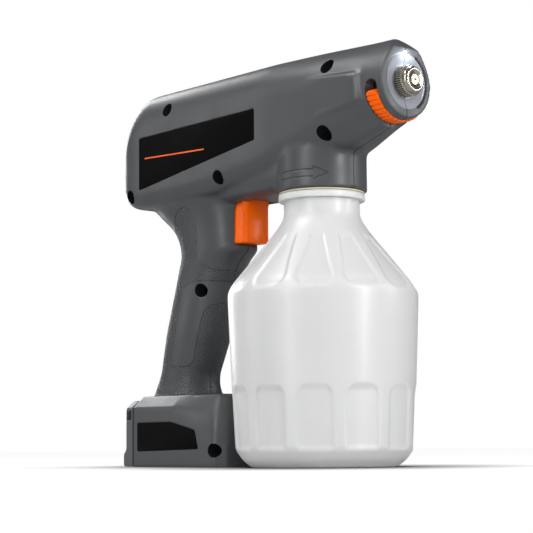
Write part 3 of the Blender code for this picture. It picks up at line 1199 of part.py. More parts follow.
def make_materials():
    """One Principled material for each sub-part, in its finish's colour."""
    for made in bpy.context.scene.objects:
        code, roughness, metallic, _ = FINISHES[finish_for(made.name)]
        surface = bpy.data.materials.new(made.name + "_" + finish_for(made.name))
        surface.use_nodes = True
        shader = surface.node_tree.nodes["Principled BSDF"]
        channels = [int(code[place:place + 2], 16) / 255.0 for place in (1, 3, 5)]
        linear = [((c + 0.055) / 1.055) ** 2.4 if c > 0.04045 else c / 12.92 for c in channels]
        shader.inputs["Base Color"].default_value = (*linear, 1.0)
        shader.inputs["Roughness"].default_value = roughness
        shader.inputs["Metallic"].default_value = metallic
        made.data.materials.clear()
        made.data.materials.append(surface)
        if made.type == "MESH":
            made.data.shade_smooth()
            made.data.set_sharp_from_angle(angle=math.radians(32.0))


def main():
    """Clear the scene and make every sub-part."""
    for leftover in list(bpy.data.objects):
        bpy.data.objects.remove(leftover)
    make_housing()
    make_grips()
    make_labels()
    make_screws()
    make_tank()
    make_socket()
    make_tank_fittings()
    make_flow_ring()
    make_nozzle()
    make_pump()
    make_electrics()
    make_trigger()
    make_battery()
    make_materials()


main()
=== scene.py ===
"""Looks of a cordless hand-held sprayer with a screw-on translucent tank.

Metres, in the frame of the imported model: +X towards the nozzle, +Y to the gun's
left, +Z up, with the origin at the centre of the tank's foot.
"""
import logging
import math
from contextlib import contextmanager
from dataclasses import dataclass, field
from enum import Enum
from typing import Iterator, Sequence

import bpy
import numpy as np
from mathutils import Matrix, Vector


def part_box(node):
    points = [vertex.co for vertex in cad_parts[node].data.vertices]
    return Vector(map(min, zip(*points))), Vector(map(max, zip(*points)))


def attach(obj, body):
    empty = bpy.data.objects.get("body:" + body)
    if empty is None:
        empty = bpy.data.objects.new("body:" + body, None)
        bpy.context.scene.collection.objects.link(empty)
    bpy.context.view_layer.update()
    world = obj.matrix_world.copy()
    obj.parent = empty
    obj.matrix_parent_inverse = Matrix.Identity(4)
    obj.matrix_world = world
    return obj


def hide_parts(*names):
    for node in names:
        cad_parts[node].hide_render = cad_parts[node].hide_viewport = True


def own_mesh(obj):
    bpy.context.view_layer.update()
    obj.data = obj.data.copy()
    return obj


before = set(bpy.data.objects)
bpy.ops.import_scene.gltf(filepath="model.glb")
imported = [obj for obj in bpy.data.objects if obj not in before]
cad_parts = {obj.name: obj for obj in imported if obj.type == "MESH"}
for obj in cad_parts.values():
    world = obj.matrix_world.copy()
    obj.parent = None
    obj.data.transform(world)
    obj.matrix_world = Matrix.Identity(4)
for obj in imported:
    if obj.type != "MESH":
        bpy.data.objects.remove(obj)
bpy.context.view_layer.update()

LOG = logging.getLogger("sprayer")

Point = Sequence[float]
Pairs = Sequence[tuple[float, float]]
Triple = tuple[float, float, float]
Outline = list[tuple[float, float]]
Ring = list[Triple]
Piece = bpy.types.Object
Tree = bpy.types.NodeTree
Socket = bpy.types.NodeSocket

MM = 0.001
GAP = 0.3 * MM
WELD = 1e-6
FAR = 0.3
SIDES = {"right": -1.0, "left": 1.0}


class Axis(Enum):
    """An axis that a piece is turned or drawn along."""

    X = 0
    Y = 1
    Z = 2


class Body(str, Enum):
    """The moving bodies that pieces ride on."""

    HOUSING = "housing"
    TRIGGER = "trigger"
    FLOW_RING = "flow_ring"
    CAP = "nozzle_cap"
    SEAL = "nozzle_seal"
    GASKET = "tank_gasket"
    TANK = "tank"
    BATTERY = "battery"
    LATCH_RIGHT = "battery_latch_right"
    LATCH_LEFT = "battery_latch_left"


# ---------------------------------------------------------------- bench tools


def focus(piece: Piece) -> None:
    """Make a piece the only selected object and the active one."""
    bpy.ops.object.select_all(action="DESELECT")
    piece.select_set(True)
    bpy.context.view_layer.objects.active = piece


@contextmanager
def editing(piece: Piece) -> Iterator[None]:
    """Open a piece in edit mode for a block of operators.

    Args:
        piece: the mesh object to edit.
    """
    focus(piece)
    bpy.ops.object.mode_set(mode="EDIT")
    bpy.ops.mesh.select_mode(type="VERT")
    try:
        yield
    finally:
        bpy.ops.object.mode_set(mode="OBJECT")


def shaped_by(piece: Piece, kind: str, **settings: object) -> Piece:
    """Add a modifier to a piece, set it and apply it.

    Args:
        piece: the object to change.
        kind: the modifier's type.
        settings: the modifier's own properties.

    Returns:
        The same piece.
    """
    focus(piece)
    modifier = piece.modifiers.new(kind.lower(), kind)
    for key, value in settings.items():
        setattr(modifier, key, value)
    bpy.ops.object.modifier_apply(modifier=modifier.name)
    return piece


def rounded(piece: Piece, width: float, segments: int = 3, degrees: float = 35.0) -> Piece:
    """Round a piece's sharp edges.

    Args:
        piece: the object to change.
        width: the rounding's width.
        segments: how many faces cross each edge.
        degrees: edges sharper than this are rounded.

    Returns:
        The same piece.
    """
    return shaped_by(piece, "BEVEL", width=width, segments=segments, limit_method="ANGLE",
                     angle_limit=math.radians(degrees), harden_normals=False)


def combined(piece: Piece, tools: list[Piece], operation: str) -> Piece:
    """Join, cut or intersect a closed piece with closed tools, which are used up.

    Args:
        piece: the object that is kept.
        tools: the objects that work on it.
        operation: UNION, DIFFERENCE or INTERSECT.

    Returns:
        The same piece.
    """
    group = bpy.data.collections.new("tools")
    bpy.context.scene.collection.children.link(group)
    for tool in tools:
        group.objects.link(tool)
    shaped_by(piece, "BOOLEAN", operation=operation, solver="MANIFOLD", operand_type="COLLECTION",
              collection=group)
    for tool in tools:
        bpy.data.objects.remove(tool)
    bpy.data.collections.remove(group)
    return piece


def welded(piece: Piece) -> Piece:
    """Merge a piece's double points and turn its faces outwards.

    Args:
        piece: the closed piece to mend.

    Returns:
        The same piece.
    """
    with editing(piece):
        bpy.ops.mesh.select_all(action="SELECT")
        bpy.ops.mesh.remove_doubles(threshold=WELD)
        bpy.ops.mesh.normals_make_consistent(inside=False)
    return piece


def shaded(piece: Piece, degrees: float = 32.0) -> Piece:
    """Shade a piece smooth, with sharp edges past an angle.

    Args:
        piece: the object to change.
        degrees: edges sharper than this stay sharp.

    Returns:
        The same piece.
    """
    focus(piece)
    bpy.ops.object.shade_smooth_by_angle(angle=math.radians(degrees))
    return piece


def vectors(items: bpy.types.bpy_prop_collection, key: str) -> np.ndarray:
    """A vector of each of a mesh's points or normals, one to a row.

    Args:
        items: the mesh's vertices or normals.
        key: which of their properties is read.

    Returns:
        An array of rows of x, y and z.
    """
    values = np.empty(len(items) * 3, np.float32)
    items.foreach_get(key, values)
    return values.reshape(-1, 3)


def softened(piece: Piece, chosen: np.ndarray, factor: float, iterations: int) -> None:
    """Smooth some of a piece's points.

    Args:
        piece: the object to change.
        chosen: which of its points are smoothed.
        factor: how far each pass goes.
        iterations: how many passes there are.
    """
    group = piece.vertex_groups.new(name="chosen")
    group.add(np.nonzero(chosen)[0].tolist(), 1.0, "REPLACE")
    shaped_by(piece, "SMOOTH", factor=factor, iterations=iterations, vertex_group=group.name)
    piece.vertex_groups.clear()


def twin(piece: Piece, name: str) -> Piece:
    """A copy of a piece with its own mesh.

    Args:
        piece: the object to copy.
        name: the copy's name.

    Returns:
        The new piece.
    """
    copy = bpy.data.objects.new(name, piece.data.copy())
    bpy.context.scene.collection.objects.link(copy)
    return copy


def joined(pieces: list[Piece], name: str) -> Piece:
    """Several objects as one, without fusing their surfaces.

    Args:
        pieces: the objects, of which the first one is kept.
        name: its new name.

    Returns:
        The first object with the others' meshes.
    """
    focus(pieces[0])
    for piece in pieces[1:]:
        piece.select_set(True)
    bpy.ops.object.join()
    pieces[0].name = pieces[0].data.name = name
    return pieces[0]


def primitive(kind: str, name: str, **settings: object) -> Piece:
    """Add one of Blender's mesh primitives.

    Args:
        kind: the primitive's name in its operator.
        name: the new piece's name.
        settings: the operator's own properties.

    Returns:
        The new piece.
    """
    bpy.ops.object.select_all(action="DESELECT")
    getattr(bpy.ops.mesh, f"primitive_{kind}_add")(**settings)
    bpy.context.object.name = name
    return bpy.context.object


def block(name: str, low: Point, high: Point) -> Piece:
    """A block between two corners, with its place in its mesh.

    Args:
        name: the new piece's name.
        low: its least x, y and z.
        high: its greatest x, y and z.

    Returns:
        The new piece.
    """
    made = primitive("cube", name, size=1.0, location=[(a + b) / 2.0 for a, b in zip(low, high)],
                     scale=[b - a for a, b in zip(low, high)])
    bpy.ops.object.transform_apply(location=True, rotation=True, scale=True)
    return made


def side_block(name: str, low: Point, high: Point, side: float) -> Piece:
    """A block given for the left side, or mirrored to the right when side is negative."""
    ends = sorted((side * low[1], side * high[1]))
    return block(name, (low[0], ends[0], low[2]), (high[0], ends[1], high[2]))


def split(skin: Piece, stem: str) -> list[Piece]:
    """Cut a skin in two along the gun's middle, with a gap, and use it up.

    Args:
        skin: the closed piece.
        stem: how the halves' names start.

    Returns:
        The right and the left half.
    """
    halves = []
    for name, side in SIDES.items():
        half = twin(skin, f"{stem}_{name}")
        low, high = sorted((side * GAP / 2.0, -side * FAR))
        other_side = block("other_side", (-FAR, low, -FAR), (FAR, high, FAR))
        halves.append(combined(half, [other_side], "DIFFERENCE"))
    bpy.data.objects.remove(skin)
    return halves


def skinned(name: str, rings: np.ndarray, ring_closed: bool = True, ends_closed: bool = True) -> Piece:
    """A grid primitive wrapped over rings of points.

    Args:
        name: the piece's name.
        rings: points as an array of rings, points in a ring and coordinates.
        ring_closed: whether each ring's last point joins its first.
        ends_closed: whether the first and last rings get a face each.

    Returns:
        The closed or open piece, faces outwards.
    """
    if ring_closed:
        rings = np.concatenate([rings, rings[:, :1]], axis=1)
    rows, columns = rings.shape[:2]
    made = primitive("grid", name, x_subdivisions=columns - 1, y_subdivisions=rows - 1, size=1.0)
    made.data.vertices.foreach_set("co", rings.reshape(-1).astype(np.float32))
    made.data.update()
    with editing(made):
        bpy.ops.mesh.select_all(action="SELECT")
        bpy.ops.mesh.remove_doubles(threshold=WELD)
        if ends_closed:
            bpy.ops.mesh.select_all(action="DESELECT")
            bpy.ops.mesh.select_non_manifold(extend=False, use_wire=False, use_multi_face=False,
                                             use_non_contiguous=False, use_verts=False)
            bpy.ops.mesh.fill_holes(sides=0)
        bpy.ops.mesh.select_all(action="SELECT")
        bpy.ops.mesh.normals_make_consistent(inside=False)
    return made


def drawn(name: str, outline: Sequence[Point], axis: Axis, low: float, high: float) -> Piece:
    """A flat outline extruded along an axis.

    Args:
        name: the piece's name.
        outline: points in the plane across the axis, as (x, z) for Y and (y, z) for X.
        axis: the direction of the extrusion.
        low: where it starts.
        high: where it ends.

    Returns:
        The closed plate.
    """
    made = primitive("circle", name, vertices=len(outline), radius=1.0, fill_type="NGON")
    order = {Axis.X: lambda u, v: (low, u, v), Axis.Y: lambda u, v: (u, low, v),
             Axis.Z: lambda u, v: (u, v, low)}
    for vertex, (u, v) in zip(made.data.vertices, outline):
        vertex.co = order[axis](u, v)
    shift = [0.0, 0.0, 0.0]
    shift[axis.value] = high - low
    with editing(made):
        bpy.ops.mesh.select_all(action="SELECT")
        bpy.ops.mesh.extrude_region_move(TRANSFORM_OT_translate={"value": shift})
        bpy.ops.mesh.select_all(action="SELECT")
        bpy.ops.mesh.normals_make_consistent(inside=False)
    return made


def turned(name: str, profile: Pairs, axis: Axis, centre: Point = (0.0, 0.0, 0.0), steps: int = 64) -> Piece:
    """A profile spun round an axis.

    Args:
        name: the piece's name.
        profile: (radius, place along the axis) points; closed unless it starts and ends on the axis.
        axis: the axis to spin round.
        centre: a point on that axis.
        steps: how many faces go round.

    Returns:
        The closed, turned piece.
    """
    across = Axis.Y if axis is not Axis.Y else Axis.Z

    def spot(radius: float, along: float) -> Vector:
        """A point of the profile, in space."""
        place = Vector(centre)
        place[across.value] += radius
        place[axis.value] += along
        return place

    made = primitive("plane", name, size=MM)
    spots = [spot(*point) for point in profile]
    direction = [1.0 if index == axis.value else 0.0 for index in range(3)]
    with editing(made):
        bpy.ops.mesh.select_all(action="SELECT")
        bpy.ops.mesh.merge(type="CENTER")
        bpy.ops.transform.translate(value=spots[0])
        for before, after in zip(spots, spots[1:]):
            bpy.ops.mesh.extrude_vertices_move(TRANSFORM_OT_translate={"value": after - before})
        if profile[0][0] > WELD and profile[-1][0] > WELD:
            bpy.ops.mesh.extrude_vertices_move(TRANSFORM_OT_translate={"value": spots[0] - spots[-1]})
        bpy.ops.mesh.select_all(action="SELECT")
        bpy.ops.mesh.spin(steps=steps, angle=2.0 * math.pi, center=centre, axis=direction)
        bpy.ops.mesh.select_all(action="SELECT")
        bpy.ops.mesh.remove_doubles(threshold=WELD)
        bpy.ops.mesh.normals_make_consistent(inside=False)
    return made


def rod(name: str, radius: float, axis: Axis, centre: Point, low: float, high: float,
        steps: int = 48) -> Piece:
    """A round bar along an axis."""
    return turned(name, [(0.0, low), (radius, low), (radius, high), (0.0, high)], axis, centre, steps)


def arc(centre: Point, radius: Point, start: float, end: float, steps: int, power: float = 2.0) -> Outline:
    """Points of an elliptic arc, squarer than an ellipse when its power is above 2.

    Args:
        centre: the arc's centre.
        radius: its two radii.
        start: first angle in degrees.
        end: last angle in degrees.
        steps: how many steps it takes.
        power: the superellipse power.

    Returns:
        The points, both ends included.
    """
    points = []
    for step in range(steps + 1):
        angle = math.radians(start + (end - start) * step / steps)
        cos, sin = math.cos(angle), math.sin(angle)
        points.append((centre[0] + radius[0] * math.copysign(abs(cos) ** (2.0 / power), cos),
                       centre[1] + radius[1] * math.copysign(abs(sin) ** (2.0 / power), sin)))
    return points


def grown(outline: Sequence[Point], margin: float) -> Outline:
    """An outline with each side moved outwards.

    Args:
        outline: the outline's corners, in order.
        margin: how far the sides move, below zero for inwards.

    Returns:
        The new corners.
    """
    spots = [Vector(point) for point in outline]
    area = sum(a.x * b.y - b.x * a.y for a, b in zip(spots, spots[1:] + spots[:1]))
    turn = 1.0 if area > 0.0 else -1.0
    result = []
    for index, here in enumerate(spots):
        before = (here - spots[index - 1]).normalized()
        after = (spots[(index + 1) % len(spots)] - here).normalized()
        normals = [Vector((side.y, -side.x)) * turn for side in (before, after)]
        bisector = (normals[0] + normals[1]).normalized()
        result.append(tuple(here + bisector * (margin / max(0.3, bisector.dot(normals[1])))))
    return result


def soft_corners(outline: Sequence[Point], radius: float, steps: int = 5) -> Outline:
    """An outline with its corners rounded.

    Args:
        outline: the outline's corners, in order.
        radius: how far from each corner the rounding starts.
        steps: how many sides it has.

    Returns:
        The new outline.
    """
    spots = [Vector(point) for point in outline]
    result = []
    for index, here in enumerate(spots):
        back, ahead = spots[index - 1] - here, spots[(index + 1) % len(spots)] - here
        reach = min(radius, back.length * 0.45, ahead.length * 0.45)
        start, end = here + back.normalized() * reach, here + ahead.normalized() * reach
        for step in range(steps + 1):
            t = step / steps
            result.append(tuple(start * (1 - t) ** 2 + here * 2 * t * (1 - t) + end * t * t))
    return result


# Where a line of values is sampled around a place to round its corners, in shares of the reach.
EASING = np.linspace(-1.0, 1.0, 9)


def eased(pairs: Pairs, place: float, reach: float = 5.0 * MM) -> float:
    """Value along (place, value) pairs, its corners rounded over a reach."""
    places, values = zip(*pairs)
    return float(np.interp(place + reach * EASING, places, values).mean())


def merged_copy(node: str) -> Piece:
    """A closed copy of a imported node's mesh, to cut with."""
    return welded(twin(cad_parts[node], node + "_copy"))


def seat(piece: Piece, body: Body, nodes: Sequence[str], finish: "Finish") -> Piece:
    """Give a finished piece its finish, its body and the nodes it stands for.

    Args:
        piece: the finished mesh, with its place in its mesh.
        body: the body that it rides on.
        nodes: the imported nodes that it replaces.
        finish: its finish.

    Returns:
        The same piece.
    """
    piece.data.materials.clear()
    piece.data.materials.append(finish.material())
    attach(piece, body.value)
    if nodes:
        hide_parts(*nodes)
    LOG.info("%s: %d faces", piece.name, len(piece.data.polygons))
    return piece


# ---------------------------------------------------------------- finishes


def linear(code: str) -> tuple[float, float, float, float]:
    """An sRGB hex colour as a linear colour with alpha."""
    channels = [int(code[place:place + 2], 16) / 255.0 for place in (1, 3, 5)]
    return (*[((c + 0.055) / 1.055) ** 2.4 if c > 0.04045 else c / 12.92 for c in channels], 1.0)


def add_node(tree: Tree, kind: str, inputs: dict | None = None, **settings: object) -> bpy.types.Node:
    """Add a node with its settings, values and links.

    Args:
        tree: the material's node tree.
        kind: the node's type.
        inputs: values or sockets, by input name or number.
        settings: the node's own properties.

    Returns:
        The new node.
    """
    node = tree.nodes.new(kind)
    for key, value in settings.items():
        setattr(node, key, value)
    for key, value in (inputs or {}).items():
        if isinstance(value, Socket):
            tree.links.new(value, node.inputs[key])
        else:
            node.inputs[key].default_value = value
    return node


@dataclass(frozen=True)
class Finish:
    """A surface: its colours, gloss and the grain left by the way it was made."""

    name: str
    colour: str
    shade: str
    roughness: float
    metallic: float = 0.0
    ior: float = 1.5
    grain_mm: float = 0.5
    grain_depth_mm: float = 0.010
    mottle_mm: float = 14.0
    roughness_spread: float = 0.05
    sockets: tuple[tuple[str, object], ...] = ()

    def material(self) -> bpy.types.Material:
        """The finish's material, made once.

        Returns:
            The material, new or from before.
        """
        made = bpy.data.materials.get(self.name)
        if made is None:
            made = bpy.data.materials.new(self.name)
            made.use_nodes = True
            self.build(made.node_tree)
        return made

    def build(self, tree: Tree) -> None:
        """Fill a material's tree with grain, mottling and gloss.

        Args:
            tree: the new material's node tree.
        """
        shader = tree.nodes["Principled BSDF"]
        place = add_node(tree, "ShaderNodeTexCoord").outputs["Object"]
        mottle = add_node(tree, "ShaderNodeTexNoise", {"Vector": place, "Scale": 1.0 / (self.mottle_mm * MM),
                                                       "Detail": 3.0})
        colour = add_node(tree, "ShaderNodeMix", {0: mottle.outputs["Fac"], 6: linear(self.colour),
                                                  7: linear(self.shade)}, data_type="RGBA")
        gloss = add_node(tree, "ShaderNodeMapRange", {
            "Value": mottle.outputs["Fac"], "From Min": 0.3, "From Max": 0.7,
            "To Min": self.roughness - self.roughness_spread,
            "To Max": self.roughness + self.roughness_spread})
        height = self.grain(tree, place)
        bump = add_node(tree, "ShaderNodeBump", {"Height": height, "Distance": self.grain_depth_mm * MM,
                                                 "Strength": 1.0})
        tree.links.new(self.tint(tree, place, colour.outputs[2]), shader.inputs["Base Color"])
        tree.links.new(gloss.outputs["Result"], shader.inputs["Roughness"])
        tree.links.new(bump.outputs["Normal"], shader.inputs["Normal"])
        shader.inputs["Metallic"].default_value = self.metallic
        if not self.metallic:
            shader.inputs["IOR"].default_value = self.ior
        for socket, value in self.sockets:
            shader.inputs[socket].default_value = value

    def grain(self, tree: Tree, place: Socket) -> Socket:
        """The height of the surface's grain."""
        return add_node(tree, "ShaderNodeTexNoise", {"Vector": place, "Scale": 1.0 / (self.grain_mm * MM),
                                                     "Detail": 4.0, "Roughness": 0.6}).outputs["Fac"]

    def tint(self, tree: Tree, place: Socket, colour: Socket) -> Socket:
        """The final colour; plain finishes keep it."""
        return colour

    def painted_by_pointiness(self, tree: Tree, colour: Socket, code: str, start: float, end: float, share: float) -> Socket:
        """Mix in a second colour by how sharply the surface turns, for a painted highlight on edges and
        painted shade in grooves.

        Args:
            tree: the material's node tree.
            colour: the colour so far.
            code: the second colour.
            start: the pointiness where it starts; 0.5 is flat, more is an edge and less a groove.
            end: the pointiness where there is most of it.
            share: how much that is.

        Returns:
            The mixed colour.
        """
        edge = add_node(tree, "ShaderNodeNewGeometry").outputs["Pointiness"]
        ramp = add_node(tree, "ShaderNodeMapRange", {"Value": edge, "From Min": start, "From Max": end,
                                                     "To Min": 0.0, "To Max": share})
        return add_node(tree, "ShaderNodeMix", {0: ramp.outputs["Result"], 6: colour, 7: linear(code)},
                        data_type="RGBA").outputs[2]


@dataclass(frozen=True)
class EdgeLitPlastic(Finish):
    """A grained plastic with a painted highlight that lightens its sharp outward edges."""

    # The colour of the painted highlight on sharp edges.
    edge: str = "#8a8c90"
    parting_mm: float = 0.0

    def tint(self, tree: Tree, place: Socket, colour: Socket) -> Socket:
        """Paint a highlight where the surface turns sharply outwards, and darken the parting line.

        Args:
            tree: the material's node tree.
            place: the surface's place.
            colour: the mottled colour.

        Returns:
            The final colour.
        """
        painted_edge_highlight = self.painted_by_pointiness(tree, colour, self.edge, 0.54, 0.66, 0.35)
        if not self.parting_mm:
            return painted_edge_highlight
        sideways = add_node(tree, "ShaderNodeSeparateXYZ", {0: place}).outputs["Y"]
        away = add_node(tree, "ShaderNodeMath", {0: sideways}, operation="ABSOLUTE").outputs[0]
        line = add_node(tree, "ShaderNodeMapRange", {
            "Value": away, "From Min": self.parting_mm * 0.6 * MM, "From Max": self.parting_mm * MM,
            "To Min": 0.85, "To Max": 0.0})
        return add_node(tree, "ShaderNodeMix", {0: line.outputs["Result"], 6: painted_edge_highlight, 7: linear("#0c0c0d")},
                        data_type="RGBA").outputs[2]


@dataclass(frozen=True)
class KnurledRubber(Finish):
    """A soft rubber with painted shade in its knurl's grooves and a painted highlight on the diamonds' tips.
    """

    # Painted shade in the knurl's grooves, and below it the painted highlight on the diamonds' tips.
    groove: str = "#1f2022"
    painted_peak_highlight: str = "#66686b"

    def tint(self, tree: Tree, place: Socket, colour: Socket) -> Socket:
        """Paint shade into the grooves and a highlight on the tips of the diamonds."""
        dark = self.painted_by_pointiness(tree, colour, self.groove, 0.495, 0.44, 0.8)
        return self.painted_by_pointiness(tree, dark, self.painted_peak_highlight, 0.505, 0.58, 0.8)


@dataclass(frozen=True)
class BrushedMetal(Finish):
    """A turned or drawn metal with fine lines along its cut and painted shade in its grooves."""

    stretch: Triple = (1.0, 1.0, 1.0)
    # The colour of the painted shade in grooves.
    groove: str = "#1c1b19"

    def tint(self, tree: Tree, place: Socket, colour: Socket) -> Socket:
        """Paint shade into the bottoms of grooves."""
        return self.painted_by_pointiness(tree, colour, self.groove, 0.49, 0.42, 0.9)

    def grain(self, tree: Tree, place: Socket) -> Socket:
        """Noise drawn out along the tool's path."""
        mapped = add_node(tree, "ShaderNodeMapping", {"Vector": place, "Scale": self.stretch})
        noise = add_node(tree, "ShaderNodeTexNoise", {
            "Vector": mapped.outputs["Vector"], "Scale": 1.0 / (self.grain_mm * MM), "Detail": 2.0})
        return noise.outputs["Fac"]


# Each finish starts from typical values of its real material and is then matched to the object.
# Glass-filled nylon, injection moulded in a spark-eroded tool: a dull grey with a very fine grain, and a
# painted highlight on its sharp edges.
# The real grain is about 0.05 mm; it is drawn at 0.35 mm so that it shows.
HOUSING = EdgeLitPlastic("moulded_nylon", "#484a4d", "#424447", 0.38, grain_mm=0.35, grain_depth_mm=0.014,
                         parting_mm=0.42)
# Painted shade down a screw hole: the same plastic, coloured near black for the shade deep in the hole, and
# rough from the core pin.
PAINTED_HOLE_SHADE = Finish("nylon_painted_hole_shade", "#0c0c0d", "#090909", 0.80, grain_mm=0.5,
                sockets=(("Specular IOR Level", 0.1),))
# The same plastic, polished in the dish round the nozzle, and coloured far lighter than the housing as
# painted light from the lamp beside it.
DISH_PAINTED_LIGHT = Finish("polished_nylon_painted_light", "#979aa1", "#8b8e95", 0.20, grain_mm=0.8, grain_depth_mm=0.003,
              sockets=(("Coat Weight", 0.3), ("Coat Roughness", 0.1)))
# Thermoplastic rubber moulded over the handle: dull, a shade darker, with almost no highlight.
GRIP = KnurledRubber("overmoulded_rubber", "#444649", "#3d3f42", 0.36, grain_mm=0.25, grain_depth_mm=0.008)
# Printed polyester film: black with a satin face that shows a faint orange peel.
LABEL = Finish("satin_film", "#070708", "#050506", 0.46, ior=1.4, grain_mm=0.7, grain_depth_mm=0.003,
               sockets=(("Specular IOR Level", 0.08),))
# Screen-printed orange ink on the film.
RULE = Finish("orange_ink", "#f4640c", "#ee5a08", 0.45, grain_mm=0.3, grain_depth_mm=0.003)
# Orange ABS with a polished face.
ORANGE = Finish("orange_abs", "#ff6a04", "#fb6402", 0.24, ior=1.45, grain_mm=1.2, grain_depth_mm=0.003,
                sockets=(("Specular IOR Level", 0.16),))
# Natural high-density polyethylene, blow moulded: milky, waxy and translucent, slightly uneven.
TANK = Finish("natural_polyethylene", "#dcddde", "#d5d6d7", 0.38, ior=1.50, grain_mm=3.0, grain_depth_mm=0.03,
              mottle_mm=30.0, roughness_spread=0.04,
              sockets=(("Subsurface Weight", 0.40), ("Subsurface Radius", (0.010, 0.010, 0.011)),
                       ("Subsurface Scale", 1.0), ("Coat Weight", 0.12), ("Coat Roughness", 0.20)))
# Moulded silicone of a seal.
SEAL = Finish("beige_silicone", "#cfc8ae", "#c4bca0", 0.55, ior=1.41, grain_mm=0.6)
# Nickel over brass, turned and knurled, then plated: bright and slightly warm.
NICKEL = BrushedMetal("bright_nickel", "#bdb9ae", "#aaa598", 0.22, 1.0, grain_mm=0.25, grain_depth_mm=0.004,
                      roughness_spread=0.04, stretch=(8.0, 1.0, 1.0))
# Painted shade on the cut bottoms of the knurling: near black and dull.
PAINTED_KNURL_SHADE = Finish("painted_knurl_shade", "#1b1a17", "#141311", 0.60, grain_mm=0.3,
                sockets=(("Specular IOR Level", 0.2),))
# Zinc-plated steel of screws and springs.
STEEL = BrushedMetal("zinc_plated_steel", "#8f9296", "#7c7f83", 0.34, 1.0, grain_mm=0.4, grain_depth_mm=0.004)
# Steel of the screws, coloured near black as painted shade deep in their holes, and dull.
SCREW_STEEL_PAINTED_SHADE = BrushedMetal("steel_painted_hole_shade", "#121214", "#0d0d0e", 0.50, 1.0, grain_mm=0.4,
                           grain_depth_mm=0.004)
# Black ABS, moulded in a plain tool: half-matt, on parts that stay hidden inside.
BLACK_PLASTIC = Finish("black_abs", "#1d1e20", "#17181a", 0.45, grain_mm=0.4)
# Black acetal, moulded: dense and slightly waxy, so that it slides.
SLEEVE = Finish("dark_acetal", "#1a1b1d", "#151618", 0.42, grain_mm=0.4)
# Natural acetal, moulded: an opaque, slightly warm white.
ACETAL = Finish("white_acetal", "#dfddd4", "#d6d3c9", 0.38, ior=1.48, grain_mm=0.6)
# Extruded polyethylene tube without a dye: smooth, and half clear.
CLEAR_TUBE = Finish("natural_tube", "#d6dadb", "#c9cdce", 0.24, ior=1.5, grain_mm=1.5,
                    sockets=(("Transmission Weight", 0.5),))
# Glass-epoxy laminate under green solder resist, whose weave shows faintly.
LAMINATE = Finish("green_laminate", "#1f5a34", "#194a2b", 0.42, grain_mm=0.8)
# Extruded silicone insulation: dull red.
LEAD = Finish("red_silicone_lead", "#8e1b16", "#7d1511", 0.5, grain_mm=0.5)
# Shrunk PVC film over the steel can of a cell: glossy and slightly rippled.
CELL_WRAP = Finish("blue_shrink_wrap", "#2f6fb0", "#2862a0", 0.3, grain_mm=2.0, grain_depth_mm=0.02)
# Stamped brass strip: bright where it was rolled.
BRASS = BrushedMetal("contact_brass", "#c9a65a", "#b8944b", 0.28, 1.0, grain_mm=0.3, grain_depth_mm=0.003)
# The pack's own glass-filled nylon, a shade lighter than the housing's, with the same painted highlight on
# its sharp edges.
PACK = EdgeLitPlastic("pack_nylon", "#57595c", "#505255", 0.42, grain_mm=0.35, grain_depth_mm=0.012)
# Clear acrylic with the lamp lit behind it.
LENS = Finish("lit_lens", "#f4f7fa", "#eef2f6", 0.08, ior=1.49, grain_mm=1.0, grain_depth_mm=0.001,
              sockets=(("Emission Color", linear("#f3f8ff")), ("Emission Strength", 5.0)))


# ---------------------------------------------------------------- housing


